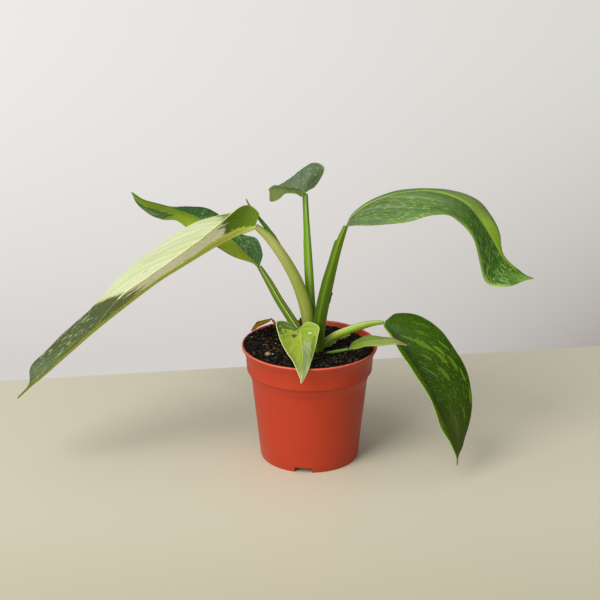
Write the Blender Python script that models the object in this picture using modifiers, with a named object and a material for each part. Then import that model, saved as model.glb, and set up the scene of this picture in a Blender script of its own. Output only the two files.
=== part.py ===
# Potted philodendron in a small terracotta-coloured plastic nursery pot.
# Metres, +Z up.  The origin is the centre of the pot's base, on the surface it stands on.
# +X runs along the plant's width, from the long pale leaf to the arching one, and +Y from its
# front to its back.
import math

import bmesh
import bpy
from mathutils import Vector

MM = 0.001
GAP = 0.3                 # clearance between pieces that touch, mm

# Pot, mm
POT_HEIGHT = 92.8
RIM_RADIUS = 52.5
COLLAR_RADIUS = 49.2
BODY_TOP_RADIUS = 45.0
FOOT_RADIUS = 38.2
WALL = 1.2
COLLAR_BOTTOM = 71.4
STEP_BOTTOM = 64.4
CHANNEL_HEIGHT = 4.5      # how far the drained ring of the floor stands above the table
PAD_RADIUS = 19.4         # flat middle of the floor, which stands on the table
NOTCH_WIDTH = 13.5
NOTCH_HEIGHT = 4.2
NOTCH_COUNT = 3
NOTCH_ANGLE = 262.9       # degrees round from +X
DRAIN_HOLES = 8
DRAIN_RADIUS = 3.5
DRAIN_RING = 29.0         # radius of the circle the drain holes lie on

# Soil and stem, mm
SOIL_TOP = 89.0
SOIL_SLOPE = -0.05        # the soil lies lower towards +X
STEM_CENTRE = (3.0, 0.0, 77.0)
STEM_RADII = (13.0, 12.0, 14.0)
ROOT_THICKNESS = 1.6
ROOT_COUNT = 5

# Leaves, mm
BLADE_THICKNESS = 0.8
ROWS_PER_RIB = 2
HALF_COLUMNS = 4
TIP_HALF_WIDTH = 0.5


def reset():
    for obj in list(bpy.data.objects):
        bpy.data.objects.remove(obj, do_unlink=True)
    parts = bpy.data.collections.new("potted_philodendron")
    cutters = bpy.data.collections.new("cutters")
    bpy.context.scene.collection.children.link(parts)
    bpy.context.scene.collection.children.link(cutters)
    return parts, cutters


PARTS, CUTTERS = reset()


def material(name, colour, roughness):
    mat = bpy.data.materials.new(name)
    mat.use_nodes = True
    shader = mat.node_tree.nodes["Principled BSDF"]
    shader.inputs["Base Color"].default_value = (*colour, 1.0)
    shader.inputs["Roughness"].default_value = roughness
    shader.inputs["Metallic"].default_value = 0.0
    return mat


def put(obj, name, mat, smooth_angle=40.0):
    """Name the piece, give it its material and shade it smooth."""
    for coll in list(obj.users_collection):
        coll.objects.unlink(obj)
    PARTS.objects.link(obj)
    obj.name = name
    obj.data.name = name
    obj.data.materials.clear()
    obj.data.materials.append(mat)
    if obj.type == "MESH":
        obj.data.shade_smooth()
        obj.data.set_sharp_from_angle(angle=math.radians(smooth_angle))
    return obj


def as_cutter(obj):
    for coll in list(obj.users_collection):
        coll.objects.unlink(obj)
    CUTTERS.objects.link(obj)
    obj.hide_render = True
    obj.display_type = "WIRE"
    return obj


def boolean(obj, other, operation):
    mod = obj.modifiers.new(operation.lower(), "BOOLEAN")
    mod.object = other
    mod.operation = operation
    mod.solver = "EXACT"
    return mod


def smooth_path(points, steps):
    """Catmull-Rom curve through the points, with a number of steps to each span."""
    pts = [Vector(p) for p in points]
    ends = [2 * pts[0] - pts[1]] + pts + [2 * pts[-1] - pts[-2]]
    path = []
    for k in range(1, len(ends) - 2):
        a, b, c, d = ends[k - 1:k + 3]
        for i in range(steps):
            t = i / steps
            path.append(0.5 * (2 * b + (c - a) * t + (2 * a - 5 * b + 4 * c - d) * t ** 2
                               + (3 * b - a - 3 * c + d) * t ** 3))
    path.append(pts[-1])
    return path


def tube(name, knots, extra=0.0, steps=2, resolution=2):
    """Tapered round stalk through knots of (x, y, z, radius), all in mm."""
    places = smooth_path([k[:3] for k in knots], steps)
    widths = smooth_path([(k[3], 0.0, 0.0) for k in knots], steps)
    if extra:
        places[0] += (places[0] - places[1]).normalized() * extra
        places[-1] += (places[-1] - places[-2]).normalized() * extra
    data = bpy.data.curves.new(name, "CURVE")
    data.dimensions = "3D"
    data.bevel_depth = MM
    data.bevel_resolution = resolution
    data.use_fill_caps = True
    spline = data.splines.new("POLY")
    spline.points.add(len(places) - 1)
    for point, place, width in zip(spline.points, places, widths):
        point.co = (*(place * MM), 1.0)
        point.radius = width[0] + extra
    obj = bpy.data.objects.new(name, data)
    PARTS.objects.link(obj)
    return obj


def tube_mesh(name, knots, extra=0.0):
    """The same stalk as a closed mesh, so that it can be cut, joined or cut with."""
    curve = tube(name + "_curve", knots, extra)
    bpy.context.view_layer.update()
    graph = bpy.context.evaluated_depsgraph_get()
    mesh = bpy.data.meshes.new_from_object(curve.evaluated_get(graph))
    edit = bmesh.new()
    edit.from_mesh(mesh)
    bmesh.ops.remove_doubles(edit, verts=edit.verts, dist=0.00001)
    edit.to_mesh(mesh)
    edit.free()
    obj = bpy.data.objects.new(name, mesh)
    obj.matrix_world = curve.matrix_world
    PARTS.objects.link(obj)
    bpy.data.objects.remove(curve, do_unlink=True)
    return obj


def turned(name, profile, segments):
    """Solid turned round Z from a profile of (radius, height) in mm, outer side going down."""
    mesh = bpy.data.meshes.new(name)
    verts = [(r * MM, 0.0, z * MM) for r, z in profile]
    mesh.from_pydata(verts, [(i, i + 1) for i in range(len(verts) - 1)], [])
    obj = bpy.data.objects.new(name, mesh)
    PARTS.objects.link(obj)
    screw = obj.modifiers.new("turn", "SCREW")
    screw.steps = segments
    screw.render_steps = segments
    screw.use_merge_vertices = True
    screw.merge_threshold = 0.00001
    return obj


def nursery_pot():
    """Thin moulded pot: flared rim, plain collar, stepped body, drained floor on a notched foot."""
    inner_top = BODY_TOP_RADIUS - WALL
    profile = [
        (0.0, WALL), (PAD_RADIUS - WALL, WALL), (PAD_RADIUS, CHANNEL_HEIGHT + 0.6),
        (PAD_RADIUS + 0.8, CHANNEL_HEIGHT + WALL), (36.4, CHANNEL_HEIGHT + WALL), (37.8, 7.2),
        (inner_top, STEP_BOTTOM), (COLLAR_RADIUS - 0.8 - WALL, COLLAR_BOTTOM + 0.6),
        (COLLAR_RADIUS - WALL, 81.0), (48.4, 84.5), (49.4, 87.5), (50.7, 89.8), (51.0, 92.2),
        (51.4, POT_HEIGHT), (52.1, POT_HEIGHT), (RIM_RADIUS, 92.3), (RIM_RADIUS, 90.8),
        (51.9, 89.7), (50.6, 87.3), (49.7, 84.5), (COLLAR_RADIUS, 81.0),
        (COLLAR_RADIUS - 0.7, 72.3), (COLLAR_RADIUS - 1.1, COLLAR_BOTTOM),
        (BODY_TOP_RADIUS + 0.4, STEP_BOTTOM + 0.8), (BODY_TOP_RADIUS, STEP_BOTTOM),
        (FOOT_RADIUS + 0.4, 1.6), (FOOT_RADIUS, 0.5), (FOOT_RADIUS - 0.5, 0.0),
        (FOOT_RADIUS - WALL, 0.0), (FOOT_RADIUS - WALL, CHANNEL_HEIGHT - 0.5),
        (FOOT_RADIUS - WALL - 0.5, CHANNEL_HEIGHT), (PAD_RADIUS + 1.8, CHANNEL_HEIGHT),
        (PAD_RADIUS + 1.0, CHANNEL_HEIGHT - 0.6), (PAD_RADIUS, 0.0), (0.0, 0.0),
    ]
    pot = turned("nursery_pot", profile, 60)
    for i in range(DRAIN_HOLES):
        angle = 2 * math.pi * (i + 0.5) / DRAIN_HOLES
        place = (DRAIN_RING * MM * math.cos(angle), DRAIN_RING * MM * math.sin(angle), 5.0 * MM)
        bpy.ops.mesh.primitive_cylinder_add(vertices=16, radius=DRAIN_RADIUS * MM, depth=6.0 * MM,
                                            location=place)
        boolean(pot, as_cutter(bpy.context.object), "DIFFERENCE")
    for i in range(NOTCH_COUNT):
        angle = math.radians(NOTCH_ANGLE + 360.0 * i / NOTCH_COUNT)
        reach = FOOT_RADIUS - WALL / 2
        place = (reach * MM * math.cos(angle), reach * MM * math.sin(angle), 0.0)
        bpy.ops.mesh.primitive_cube_add(size=1.0, location=place, rotation=(0.0, 0.0, angle))
        box = bpy.context.object
        box.scale = (6.0 * MM, NOTCH_WIDTH * MM, 2 * NOTCH_HEIGHT * MM)
        boolean(pot, as_cutter(box), "DIFFERENCE")
    return put(pot, "nursery_pot", material("terracotta_plastic", (0.62, 0.10, 0.035), 0.42))


# Stalks run from the crown out to their blades: x, y, z and radius, mm.
STALKS = {
    "stalk_left_long": [
        (0.3, 1.0, 85.0, 4.6), (-0.2, 1.0, 103.0, 4.8), (-2.8, 0.0, 122.0, 4.8),
        (-8.6, -1.0, 141.0, 4.4), (-15.8, -2.0, 156.6, 4.0), (-24.4, -3.0, 171.0, 3.6),
        (-32.3, -3.3, 181.0, 3.2), (-40.5, -4.2, 188.8, 2.2)],
    "stalk_left_back": [
        (-3.5, 9.5, 87.0, 3.2), (-6.0, 9.5, 95.2, 3.7), (-13.0, 11.5, 106.3, 3.5),
        (-23.8, 14.0, 123.2, 3.2), (-31.2, 17.0, 136.1, 2.8), (-39.0, 20.1, 148.5, 1.8)],
    "stalk_centre": [
        (4.0, 10.8, 86.0, 3.0), (3.2, 11.0, 95.0, 3.3), (1.4, 10.0, 116.4, 3.3),
        (-0.9, 8.0, 154.0, 3.0), (-2.5, 6.0, 186.7, 2.2), (-3.6, 5.1, 211.2, 1.9)],
    "stalk_right_arch": [
        (7.0, -8.0, 85.5, 3.6), (7.6, -7.0, 102.3, 4.1), (9.1, -6.0, 118.3, 4.4),
        (13.9, -5.5, 142.6, 4.1), (18.4, -5.5, 161.0, 3.2), (22.4, -5.0, 176.0, 2.8),
        (26.9, -5.0, 189.0, 1.8)],
    "stalk_right_low": [
        (10.5, 1.5, 87.0, 2.4), (12.2, 0.3, 93.0, 2.9), (17.3, -2.0, 98.4, 3.0),
        (26.5, -5.0, 104.2, 3.1), (38.6, -8.0, 109.9, 2.9), (49.2, -11.0, 113.8, 2.1),
        (56.6, -13.1, 115.0, 1.3)],
    "stalk_front_small": [
        (-3.0, -7.5, 86.0, 1.3), (-5.6, -11.0, 98.0, 1.4), (-8.4, -16.6, 110.6, 1.1)],
    "stalk_right_small": [
        (12.0, -11.0, 84.0, 1.1), (13.4, -11.6, 88.6, 1.2), (18.8, -13.0, 90.6, 1.4),
        (29.5, -15.9, 94.0, 1.0)],
    "withered_stalk": [
        (-7.5, 4.6, 86.0, 1.1), (-12.0, 7.6, 91.5, 1.0), (-21.0, 13.6, 97.8, 0.9),
        (-29.4, 19.4, 104.8, 0.8)],
}

# Blades are lofted over ribs that run from the stalk to the tip.  A rib is the near edge,
# the midrib and the far edge of the blade at one place, as x, y, z in mm.
BLADES = {
    "blade_left_long": dict(camber=(0.05, 0.05), tip=(-222, -38, 62), ribs=[
        ((-40.5, -5, 190.8), (-41, -4.3, 189.4), (-42, -3, 190.8)),
        ((-36.5, -4.5, 200.5), (-47, -6, 187), (-45, 6, 196)),
        ((-46, -11, 207), (-56, -8, 184), (-54, 17, 194)),
        ((-61, -25, 203), (-72, -11, 176), (-80, 18, 188)),
        ((-91, -44, 182), (-91, -15, 165), (-110, 13, 172)),
        ((-115, -48, 167), (-114, -19, 151), (-132, 8, 157)),
        ((-138, -50, 149), (-137, -23, 134), (-158, 0, 133)),
        ((-159, -53, 127), (-160, -27, 116), (-179, -7, 112)),
        ((-182, -50, 104), (-183, -30, 96), (-200, -16, 95)),
        ((-200, -45, 85), (-201, -33, 80), (-212, -26, 83)),
        ((-212, -39, 73), (-212, -35, 71), (-214, -32, 71))]),
    "blade_left_back": dict(camber=(0.08, 0.06), tip=(-143, 80, 191), ribs=[
        ((-40, 19.2, 149.4), (-39.4, 20.2, 149), (-38.6, 21, 149.4)),
        ((-48, 13, 155), (-45, 25, 153), (-37, 38, 154)),
        ((-59, 10, 161), (-52, 31, 158), (-42, 53, 160)),
        ((-73, 16, 166), (-62, 39, 165), (-54, 63, 161)),
        ((-83, 22, 171), (-75, 47, 172), (-67, 72, 170)),
        ((-95, 31, 176), (-88, 55, 177), (-82, 79, 177)),
        ((-105, 41, 179), (-101, 62, 180), (-97, 84, 178)),
        ((-117, 50, 178), (-114, 68, 181), (-112, 86, 176)),
        ((-129, 60, 179), (-126, 73, 183), (-126, 86, 180)),
        ((-138, 72, 184), (-135, 77, 186), (-135, 83, 184))]),
    "blade_centre": dict(camber=(0.04, 0.10), tip=(-32, 47, 203), ribs=[
        ((-4.2, 4.2, 212.2), (-3.8, 5.2, 211.8), (-3.2, 6.2, 212.2)),
        ((-6, -5, 212), (-6, 9, 212), (4, 24, 212.5)),
        ((-11, -5, 215), (-11, 16, 211), (11, 33, 224)),
        ((-18, 0, 213), (-16, 24, 209), (1, 45, 224)),
        ((-23, 11, 206), (-21, 32, 208), (-9, 53, 213)),
        ((-30.5, 26, 200), (-27, 39, 206), (-20, 53, 204)),
        ((-31, 39, 202), (-30, 44, 204), (-28, 50, 205))]),
    "blade_right_arch": dict(camber=(-0.08, -0.08), tip=(171, 1, 146), ribs=[
        ((28, -6, 189.2), (27.2, -5, 189.6), (27.6, -4, 189.4)),
        ((39, -17, 194), (32, -3, 197), (35, 10, 195)),
        ((53, -21, 195), (45, 0, 206), (47, 21, 200)),
        ((70, -23, 198), (63, 3, 212), (66, 28, 205)),
        ((86, -24, 203), (84, 5, 214), (87, 31, 206)),
        ((102, -22, 203), (102, 6, 211), (109, 31, 206)),
        ((113, -20, 196), (118, 6, 203), (129, 28, 200)),
        ((122, -17, 182), (130, 6, 189), (140, 26, 188)),
        ((128, -13, 164), (139, 5, 175), (146, 22, 174)),
        ((135, -6, 144), (147, 4, 162), (149, 17, 160)),
        ((150, -7, 142), (157, 3, 152), (159, 12, 150)),
        ((162, -3, 145), (164, 2, 148), (166, 7, 146))]),
    "blade_right_low": dict(camber=(-0.05, -0.10), tip=(112, -57, 16), ribs=[
        ((57, -14.4, 115), (57.2, -13.2, 115), (58, -12.2, 116)),
        ((57, -23, 115), (59, -16, 112), (67, -4, 119)),
        ((62, -32, 110), (64, -20, 105), (83, -5, 118)),
        ((69, -42, 101), (72, -26, 95), (101, -14, 108)),
        ((77, -50, 90), (81, -32, 83), (114, -21, 91)),
        ((86, -54, 78), (89, -38, 70), (122, -25, 73)),
        ((93, -58, 64), (96, -44, 57), (124, -33, 58)),
        ((99, -60, 48), (103, -49, 43), (121, -40, 40)),
        ((106, -59, 35), (108, -53, 32), (117, -47, 29)),
        ((110.8, -57, 24), (112, -56, 23), (113, -55, 23))]),
    "blade_front_small": dict(camber=(0.06, 0.06), tip=(-6, -68, 88), ribs=[
        ((-9.4, -18, 111.6), (-8.6, -17, 111.2), (-7.8, -16.4, 111.6)),
        ((-16, -22, 119), (-8, -20, 111), (-1, -15, 116)),
        ((-25, -23, 119), (-7, -26, 109), (7, -21, 115)),
        ((-23, -38, 114), (-6, -35, 105), (6, -27, 108)),
        ((-17, -52, 106), (-5, -46, 101), (3, -39, 99)),
        ((-11, -62, 100), (-5, -58, 96), (0, -53, 95)),
        ((-7, -67, 92), (-5, -65, 92), (-3, -63, 91))]),
    "blade_right_small": dict(camber=(-0.06, -0.06), tip=(72, -52, 112), ribs=[
        ((30, -17, 94), (30, -16, 94.2), (30, -15, 94.4)),
        ((37, -29, 100), (36, -22, 100), (35, -15, 101)),
        ((45, -39, 106), (44, -30, 106), (44, -21, 107)),
        ((54, -46, 109), (54, -38, 110), (55, -30, 110)),
        ((63, -50, 112), (63, -45, 112), (64, -40, 112))]),
    "withered_leaf": dict(camber=(0.1, 0.1), tip=(-46.5, 41, 87), ribs=[
        ((-31, 19.4, 105.2), (-30.2, 20.2, 105.6), (-29.4, 21, 105.4)),
        ((-36, 22.6, 101.4), (-34.2, 25, 101.8), (-32.4, 27.4, 101)),
        ((-41, 29, 96.8), (-38.8, 31.4, 97.4), (-36.6, 33.8, 96.6)),
        ((-45.2, 35, 91.8), (-43, 37, 92.2), (-40.8, 39, 91.6))]),
}


def blade(name, ribs, tip, camber, mat):
    """A leaf blade: a grid laid over the ribs, given the leaf's thickness."""
    last = [Vector(p) for p in ribs[-1]]
    end = Vector(tip)
    tip_rib = (end + (last[0] - last[1]).normalized() * TIP_HALF_WIDTH, end,
               end + (last[2] - last[1]).normalized() * TIP_HALF_WIDTH)
    every = list(ribs) + [tip_rib]
    near, mid, far = (smooth_path([rib[k] for rib in every], ROWS_PER_RIB) for k in range(3))
    rows = len(mid) - 1
    bpy.ops.mesh.primitive_grid_add(x_subdivisions=2 * HALF_COLUMNS, y_subdivisions=rows, size=1.0,
                                    location=(0.0, 0.0, 0.0))
    obj = bpy.context.object
    for vert in obj.data.vertices:
        row = round((vert.co.y + 0.5) * rows)
        across = 2.0 * vert.co.x
        along = mid[min(row + 1, rows)] - mid[max(row - 1, 0)]
        up = (far[row] - near[row]).cross(along).normalized()
        edge, bulge = (near[row], camber[0]) if across < 0 else (far[row], camber[1])
        t = abs(across)
        width = (edge - mid[row]).length
        place = mid[row].lerp(edge, t) + up * (bulge * width * 4 * t * (1 - t))
        vert.co = place * MM
    wall = obj.modifiers.new("leaf_thickness", "SOLIDIFY")
    wall.thickness = BLADE_THICKNESS * MM
    wall.offset = 0.0
    return put(obj, name, mat, 60.0)


def crown_ball(name, extra=0.0):
    bpy.ops.mesh.primitive_uv_sphere_add(segments=20, ring_count=12, radius=1.0)
    obj = bpy.context.object
    obj.name = name
    for vert in obj.data.vertices:
        vert.co = Vector([(c + v * (r + extra)) * MM
                          for c, v, r in zip(STEM_CENTRE, vert.co, STEM_RADII)])
    return obj


def root_knots(index):
    """One main root, leaving the crown sideways and sinking towards the pot's floor."""
    angle = 2 * math.pi * (index + 0.3) / ROOT_COUNT
    reach = (7.0, 17.0, 24.0, 27.0)
    depth = (74.0, 64.0, 46.0, 24.0 + 3.0 * (index % 3))
    taper = (1.0, 0.9, 0.7, 0.45)
    return [(STEM_CENTRE[0] + r * math.cos(angle + 0.12 * i), r * math.sin(angle + 0.12 * i), z,
             ROOT_THICKNESS * k) for i, (r, z, k) in enumerate(zip(reach, depth, taper))]


def stem_and_roots():
    """Short stem with its main roots, hollowed where the stalks are seated in it."""
    stem = crown_ball("stem_and_roots")
    for i in range(ROOT_COUNT):
        boolean(stem, as_cutter(tube_mesh(f"root_{i}", root_knots(i))), "UNION")
    for name, knots in STALKS.items():
        boolean(stem, as_cutter(tube_mesh(f"{name}_seat", knots[:3], GAP)), "DIFFERENCE")
    boolean(stem, as_cutter(tube_mesh("dead_stub_seat", STUB, GAP)), "DIFFERENCE")
    return put(stem, "stem_and_roots", material("stem_skin", (0.16, 0.20, 0.05), 0.6))


def soil_height(x, y):
    """Height of the soil's uneven surface, mm."""
    bumps = 0.35 * math.sin(0.31 * x + 0.8) * math.cos(0.27 * y - 0.4)
    return SOIL_TOP + SOIL_SLOPE * x + bumps


def potting_soil():
    """Soil that fills the pot to just under its rim, with room for the stem and the stalks."""
    inner_top = BODY_TOP_RADIUS - WALL - GAP
    floor = WALL + GAP
    profile = [
        (0.0, SOIL_TOP), (10.0, SOIL_TOP), (20.0, SOIL_TOP), (30.0, SOIL_TOP), (38.0, SOIL_TOP),
        (44.6, SOIL_TOP), (47.0, SOIL_TOP - 0.5), (47.8, SOIL_TOP - 1.5),
        (47.6, 82.0), (COLLAR_RADIUS - WALL - 0.4, 80.6),
        (COLLAR_RADIUS - 1.4 - WALL, COLLAR_BOTTOM + 0.6), (inner_top, STEP_BOTTOM),
        (37.4, 7.8), (36.3, floor + CHANNEL_HEIGHT), (PAD_RADIUS + 0.5, floor + CHANNEL_HEIGHT),
        (PAD_RADIUS - 0.4, CHANNEL_HEIGHT + 0.6), (PAD_RADIUS - WALL - 0.5, floor), (0.0, floor),
    ]
    soil = turned("potting_soil", profile, 40)
    bpy.context.view_layer.update()
    graph = bpy.context.evaluated_depsgraph_get()
    soil.data = bpy.data.meshes.new_from_object(soil.evaluated_get(graph))
    soil.modifiers.clear()
    for vert in soil.data.vertices:
        if vert.co.z > 84.0 * MM:
            lift = soil_height(vert.co.x / MM, vert.co.y / MM) - SOIL_TOP
            vert.co.z += lift * MM
    boolean(soil, as_cutter(crown_ball("stem_room", GAP)), "DIFFERENCE")
    for i in range(ROOT_COUNT):
        boolean(soil, as_cutter(tube_mesh(f"root_room_{i}", root_knots(i), GAP)), "DIFFERENCE")
    for name, knots in STALKS.items():
        boolean(soil, as_cutter(tube_mesh(f"{name}_room", knots[:3], GAP)), "DIFFERENCE")
    boolean(soil, as_cutter(tube_mesh("dead_stub_room", STUB, GAP)), "DIFFERENCE")
    return put(soil, "potting_soil", material("peat_soil", (0.022, 0.016, 0.011), 0.95))


# Small dry pieces between the stalks: x, y, z and radius, mm.
STUB = [(-5.4, 2.6, 88.6, 1.3), (-6.2, 3.4, 99.0, 1.2), (-7.0, 4.0, 112.0, 0.8)]
SHEATH_TONGUE = [(-22.6, -1.2, 173.6, 0.6), (-27.2, -0.6, 179.4, 1.5), (-31.8, 0.8, 184.8, 1.7),
                 (-36.9, 2.0, 191.4, 1.4), (-41.3, 3.2, 197.0, 1.0), (-45.4, 4.0, 202.4, 0.7),
                 (-48.1, 4.2, 207.6, 0.4)]
DRY_SHEATH = [(12.4, 0.6, 116.5, 0.5), (14.4, 0.6, 125.0, 1.0), (17.2, 0.6, 134.0, 0.5)]


def sheath_strip(name, knots, stalk, mat):
    """A loose strip of sheath that lies along its stalk, trimmed to the stalk's surface."""
    strip = tube_mesh(name, knots)
    boolean(strip, as_cutter(tube_mesh(f"{name}_stalk_side", STALKS[stalk], GAP)), "DIFFERENCE")
    return put(strip, name, mat)


def crumb(name, x, y, size, turn, mat):
    """A small rough lump lying on the soil at x, y."""
    bpy.ops.mesh.primitive_ico_sphere_add(subdivisions=2, radius=1.0)
    obj = bpy.context.object
    for vert in obj.data.vertices:
        dent = 1.0 + 0.12 * math.sin(5.0 * vert.co.x + 3.0 * vert.co.y) * math.cos(4.0 * vert.co.z)
        vert.co = Vector([v * s * MM * dent for v, s in zip(vert.co, size)])
    obj.location = Vector((x, y, soil_height(x, y) + 1.12 * size[2] + 2 * GAP)) * MM
    obj.rotation_euler = (0.0, 0.0, math.radians(turn))
    return put(obj, name, mat)


def main():
    nursery_pot()
    potting_soil()
    stem_and_roots()
    pale_green = material("stalk_green", (0.24, 0.36, 0.06), 0.45)
    for name, knots in STALKS.items():
        put(tube(name, knots), name, pale_green)
    leaf_green = material("leaf_green", (0.08, 0.20, 0.03), 0.4)
    dry_leaf = material("withered_leaf_yellow", (0.42, 0.24, 0.02), 0.7)
    for name, shape in BLADES.items():
        mat = dry_leaf if name == "withered_leaf" else leaf_green
        blade(name, shape["ribs"], shape["tip"], shape["camber"], mat)
    dry = material("dry_sheath_brown", (0.10, 0.03, 0.03), 0.8)
    sheath_strip("sheath_tongue", SHEATH_TONGUE, "stalk_left_long", pale_green)
    sheath_strip("dry_sheath", DRY_SHEATH, "stalk_right_arch", dry)
    put(tube("dead_stub", STUB), "dead_stub", dry)
    bark = material("bark_brown", (0.30, 0.19, 0.10), 0.85)
    white = material("perlite_white", (0.75, 0.73, 0.70), 0.9)
    crumb("bark_chip", -31.5, -22.5, (2.8, 1.9, 1.4), 20.0, bark)
    crumb("perlite_grain_left", -45.4, 12.2, (0.9, 0.8, 0.7), 0.0, white)
    crumb("perlite_grain_front", -28.0, -20.0, (0.8, 0.7, 0.7), 35.0, white)


main()
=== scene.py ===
# Potted philodendron: the finish of the plant, its soil and its nursery pot.
# Sizes are in metres unless a name ends in _mm or a comment says mm.
import math
import random

import bmesh
import bpy
from mathutils import Matrix, Vector, noise


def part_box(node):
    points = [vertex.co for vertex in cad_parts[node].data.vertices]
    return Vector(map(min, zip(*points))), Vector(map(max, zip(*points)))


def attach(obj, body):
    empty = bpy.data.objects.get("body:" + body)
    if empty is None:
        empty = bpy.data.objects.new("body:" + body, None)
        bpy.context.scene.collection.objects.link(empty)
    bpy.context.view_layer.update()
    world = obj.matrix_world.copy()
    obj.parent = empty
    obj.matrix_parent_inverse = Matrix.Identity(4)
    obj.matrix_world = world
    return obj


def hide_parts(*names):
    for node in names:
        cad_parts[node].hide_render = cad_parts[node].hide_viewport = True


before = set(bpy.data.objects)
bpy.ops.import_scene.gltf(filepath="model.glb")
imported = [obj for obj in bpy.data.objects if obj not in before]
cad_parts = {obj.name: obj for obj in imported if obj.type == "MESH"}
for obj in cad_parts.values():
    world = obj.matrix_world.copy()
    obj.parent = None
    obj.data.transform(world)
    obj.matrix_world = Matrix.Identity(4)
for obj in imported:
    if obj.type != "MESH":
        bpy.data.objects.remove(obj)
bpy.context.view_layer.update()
MM = 0.001


# ---------------------------------------------------------------- camera
# A long lens on a stand in front of the table, looking down at the plant.
CAMERA_PLACE = (0.0, -1.1462, 0.5468)
CAMERA_TILT = math.radians(69.944)
CAMERA_TURN = math.radians(0.371)
CAMERA_LENS = 95.38

bpy.ops.object.camera_add(location=CAMERA_PLACE, rotation=(CAMERA_TILT, 0.0, CAMERA_TURN))
camera = bpy.context.object
camera.name = "camera"
camera.data.lens = CAMERA_LENS
bpy.context.scene.camera = camera
bpy.context.scene.view_settings.view_transform = "Standard"


# ---------------------------------------------------------------- table and studio
# A plain beige table top with a straight back edge, before a pale grey wall that falls off
# towards the right.  One large soft light stands to the left and in front.
TABLE_BACK_EDGE = ((-1.30, -0.022), (1.30, 0.393))
TABLE_FRONT = -2.4
SOFTBOX_PLACE = (-1.24, -1.46, 1.55)
SOFTBOX_AIM = Vector((0.0, 0.0, 0.1))
SOFTBOX_SIZE = (1.2, 2.6)


def shade(red, green, blue):
    """A colour given as 0 to 255 display values, made linear for the shaders."""
    return tuple((c / 255.0 / 12.92) if c <= 10 else ((c / 255.0 + 0.055) / 1.055) ** 2.4
                 for c in (red, green, blue)) + (1.0,)


def node(tree, kind, inputs=None, **settings):
    """A shader node.  Each input is a value or another node's output, by name or number."""
    new = tree.nodes.new("ShaderNode" + kind)
    for setting, value in settings.items():
        setattr(new, setting, value)
    for socket, value in (inputs or {}).items():
        if isinstance(value, bpy.types.NodeSocket):
            tree.links.new(value, new.inputs[socket])
        else:
            new.inputs[socket].default_value = value
    return new


def calc(tree, operation, first, second=0.0, third=0.0):
    """A sum on up to three values."""
    return node(tree, "Math", {0: first, 1: second, 2: third}, operation=operation).outputs[0]


def blend_in(tree, amount, under, over):
    """The colour over laid on the colour under by an amount from 0 to 1."""
    return node(tree, "Mix", {"Factor": amount, 6: under, 7: over},
                data_type="RGBA").outputs[2]


def rise(tree, value, low, high, to_low=0.0, to_high=1.0):
    """A value turned smoothly from to_low, at low, to to_high, at high."""
    return node(tree, "MapRange", {0: value, 1: low, 2: high, 3: to_low, 4: to_high},
                interpolation_type="SMOOTHSTEP").outputs[0]


def cloudy(tree, place, scale, detail, roughness=0.5):
    """Soft noise about 0.5 over a place, finer as the scale grows."""
    return node(tree, "TexNoise", {"Vector": place, "Scale": scale, "Detail": detail,
                                   "Roughness": roughness}).outputs[0]


def new_finish(name, roughness):
    """A material with its node tree and its shader, for a section to fill in."""
    finish = bpy.data.materials.new(name)
    finish.use_nodes = True
    shader = finish.node_tree.nodes["Principled BSDF"]
    shader.inputs["Roughness"].default_value = roughness
    return finish, finish.node_tree, shader


bpy.ops.mesh.primitive_plane_add(size=1.0)
table = bpy.context.object
table.name = "table_top"
left_back, right_back = TABLE_BACK_EDGE
for vert in table.data.vertices:
    edge = left_back if vert.co.x < 0.0 else right_back
    vert.co = (edge[0], edge[1] if vert.co.y > 0.0 else TABLE_FRONT, 0.0)
table_finish, tree, shader = new_finish("beige_table", 0.5)
place = node(tree, "TexCoord").outputs["Object"]
beige_mottle_and_painted_falloff = blend_in(tree, cloudy(tree, place, 3.0, 2.0), shade(203, 197, 175), shade(209, 204, 183))
forward = node(tree, "SeparateXYZ", {0: place}).outputs[1]
# Painted shade: the table top turns darker towards the front, standing in for the falloff of the
# light.
beige_mottle_and_painted_falloff = blend_in(tree, rise(tree, forward, -0.06, -0.30), beige_mottle_and_painted_falloff, shade(188, 182, 157))
grain = calc(tree, "MULTIPLY", cloudy(tree, place, 900.0, 2.0), 0.08)
tree.links.new(blend_in(tree, grain, beige_mottle_and_painted_falloff, shade(180, 168, 145)), shader.inputs["Base Color"])
table.data.materials.append(table_finish)

# The wall's colours at its four corners, as the studio behind the table: painted light and shade,
# bright at the upper left and darker towards the lower right.
world = bpy.data.worlds.new("studio")
bpy.context.scene.world = world
world.use_nodes = True
tree = world.node_tree
tree.nodes.clear()
ray = node(tree, "TexCoord").outputs["Generated"]
way = node(tree, "SeparateXYZ", {0: ray})
across = node(tree, "MapRange", {0: way.outputs[0], 1: -0.19, 2: 0.19}).outputs[0]
down = node(tree, "MapRange", {0: way.outputs[2], 1: -0.16, 2: -0.37}).outputs[0]
top_row = blend_in(tree, across, shade(237, 235, 233), shade(219, 216, 211))
low_row = blend_in(tree, calc(tree, "POWER", across, 3.0), shade(213, 209, 206),
                   shade(162, 157, 153))
wall = blend_in(tree, calc(tree, "POWER", down, 2.0), top_row, low_row)
# Away from the wall the room is dim, and brighter on the side of the light.
towards = node(tree, "VectorMath", {0: ray, 1: (-0.45, -0.60, 0.66)},
               operation="DOT_PRODUCT").outputs["Value"]
room = blend_in(tree, rise(tree, towards, -0.7, 0.9), (0.08, 0.08, 0.08, 1.0),
                (0.72, 0.72, 0.72, 1.0))
seen = node(tree, "LightPath").outputs["Is Camera Ray"]
sky = node(tree, "Background", {0: blend_in(tree, seen, room, wall)})
tree.links.new(sky.outputs[0], node(tree, "OutputWorld").inputs[0])

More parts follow.
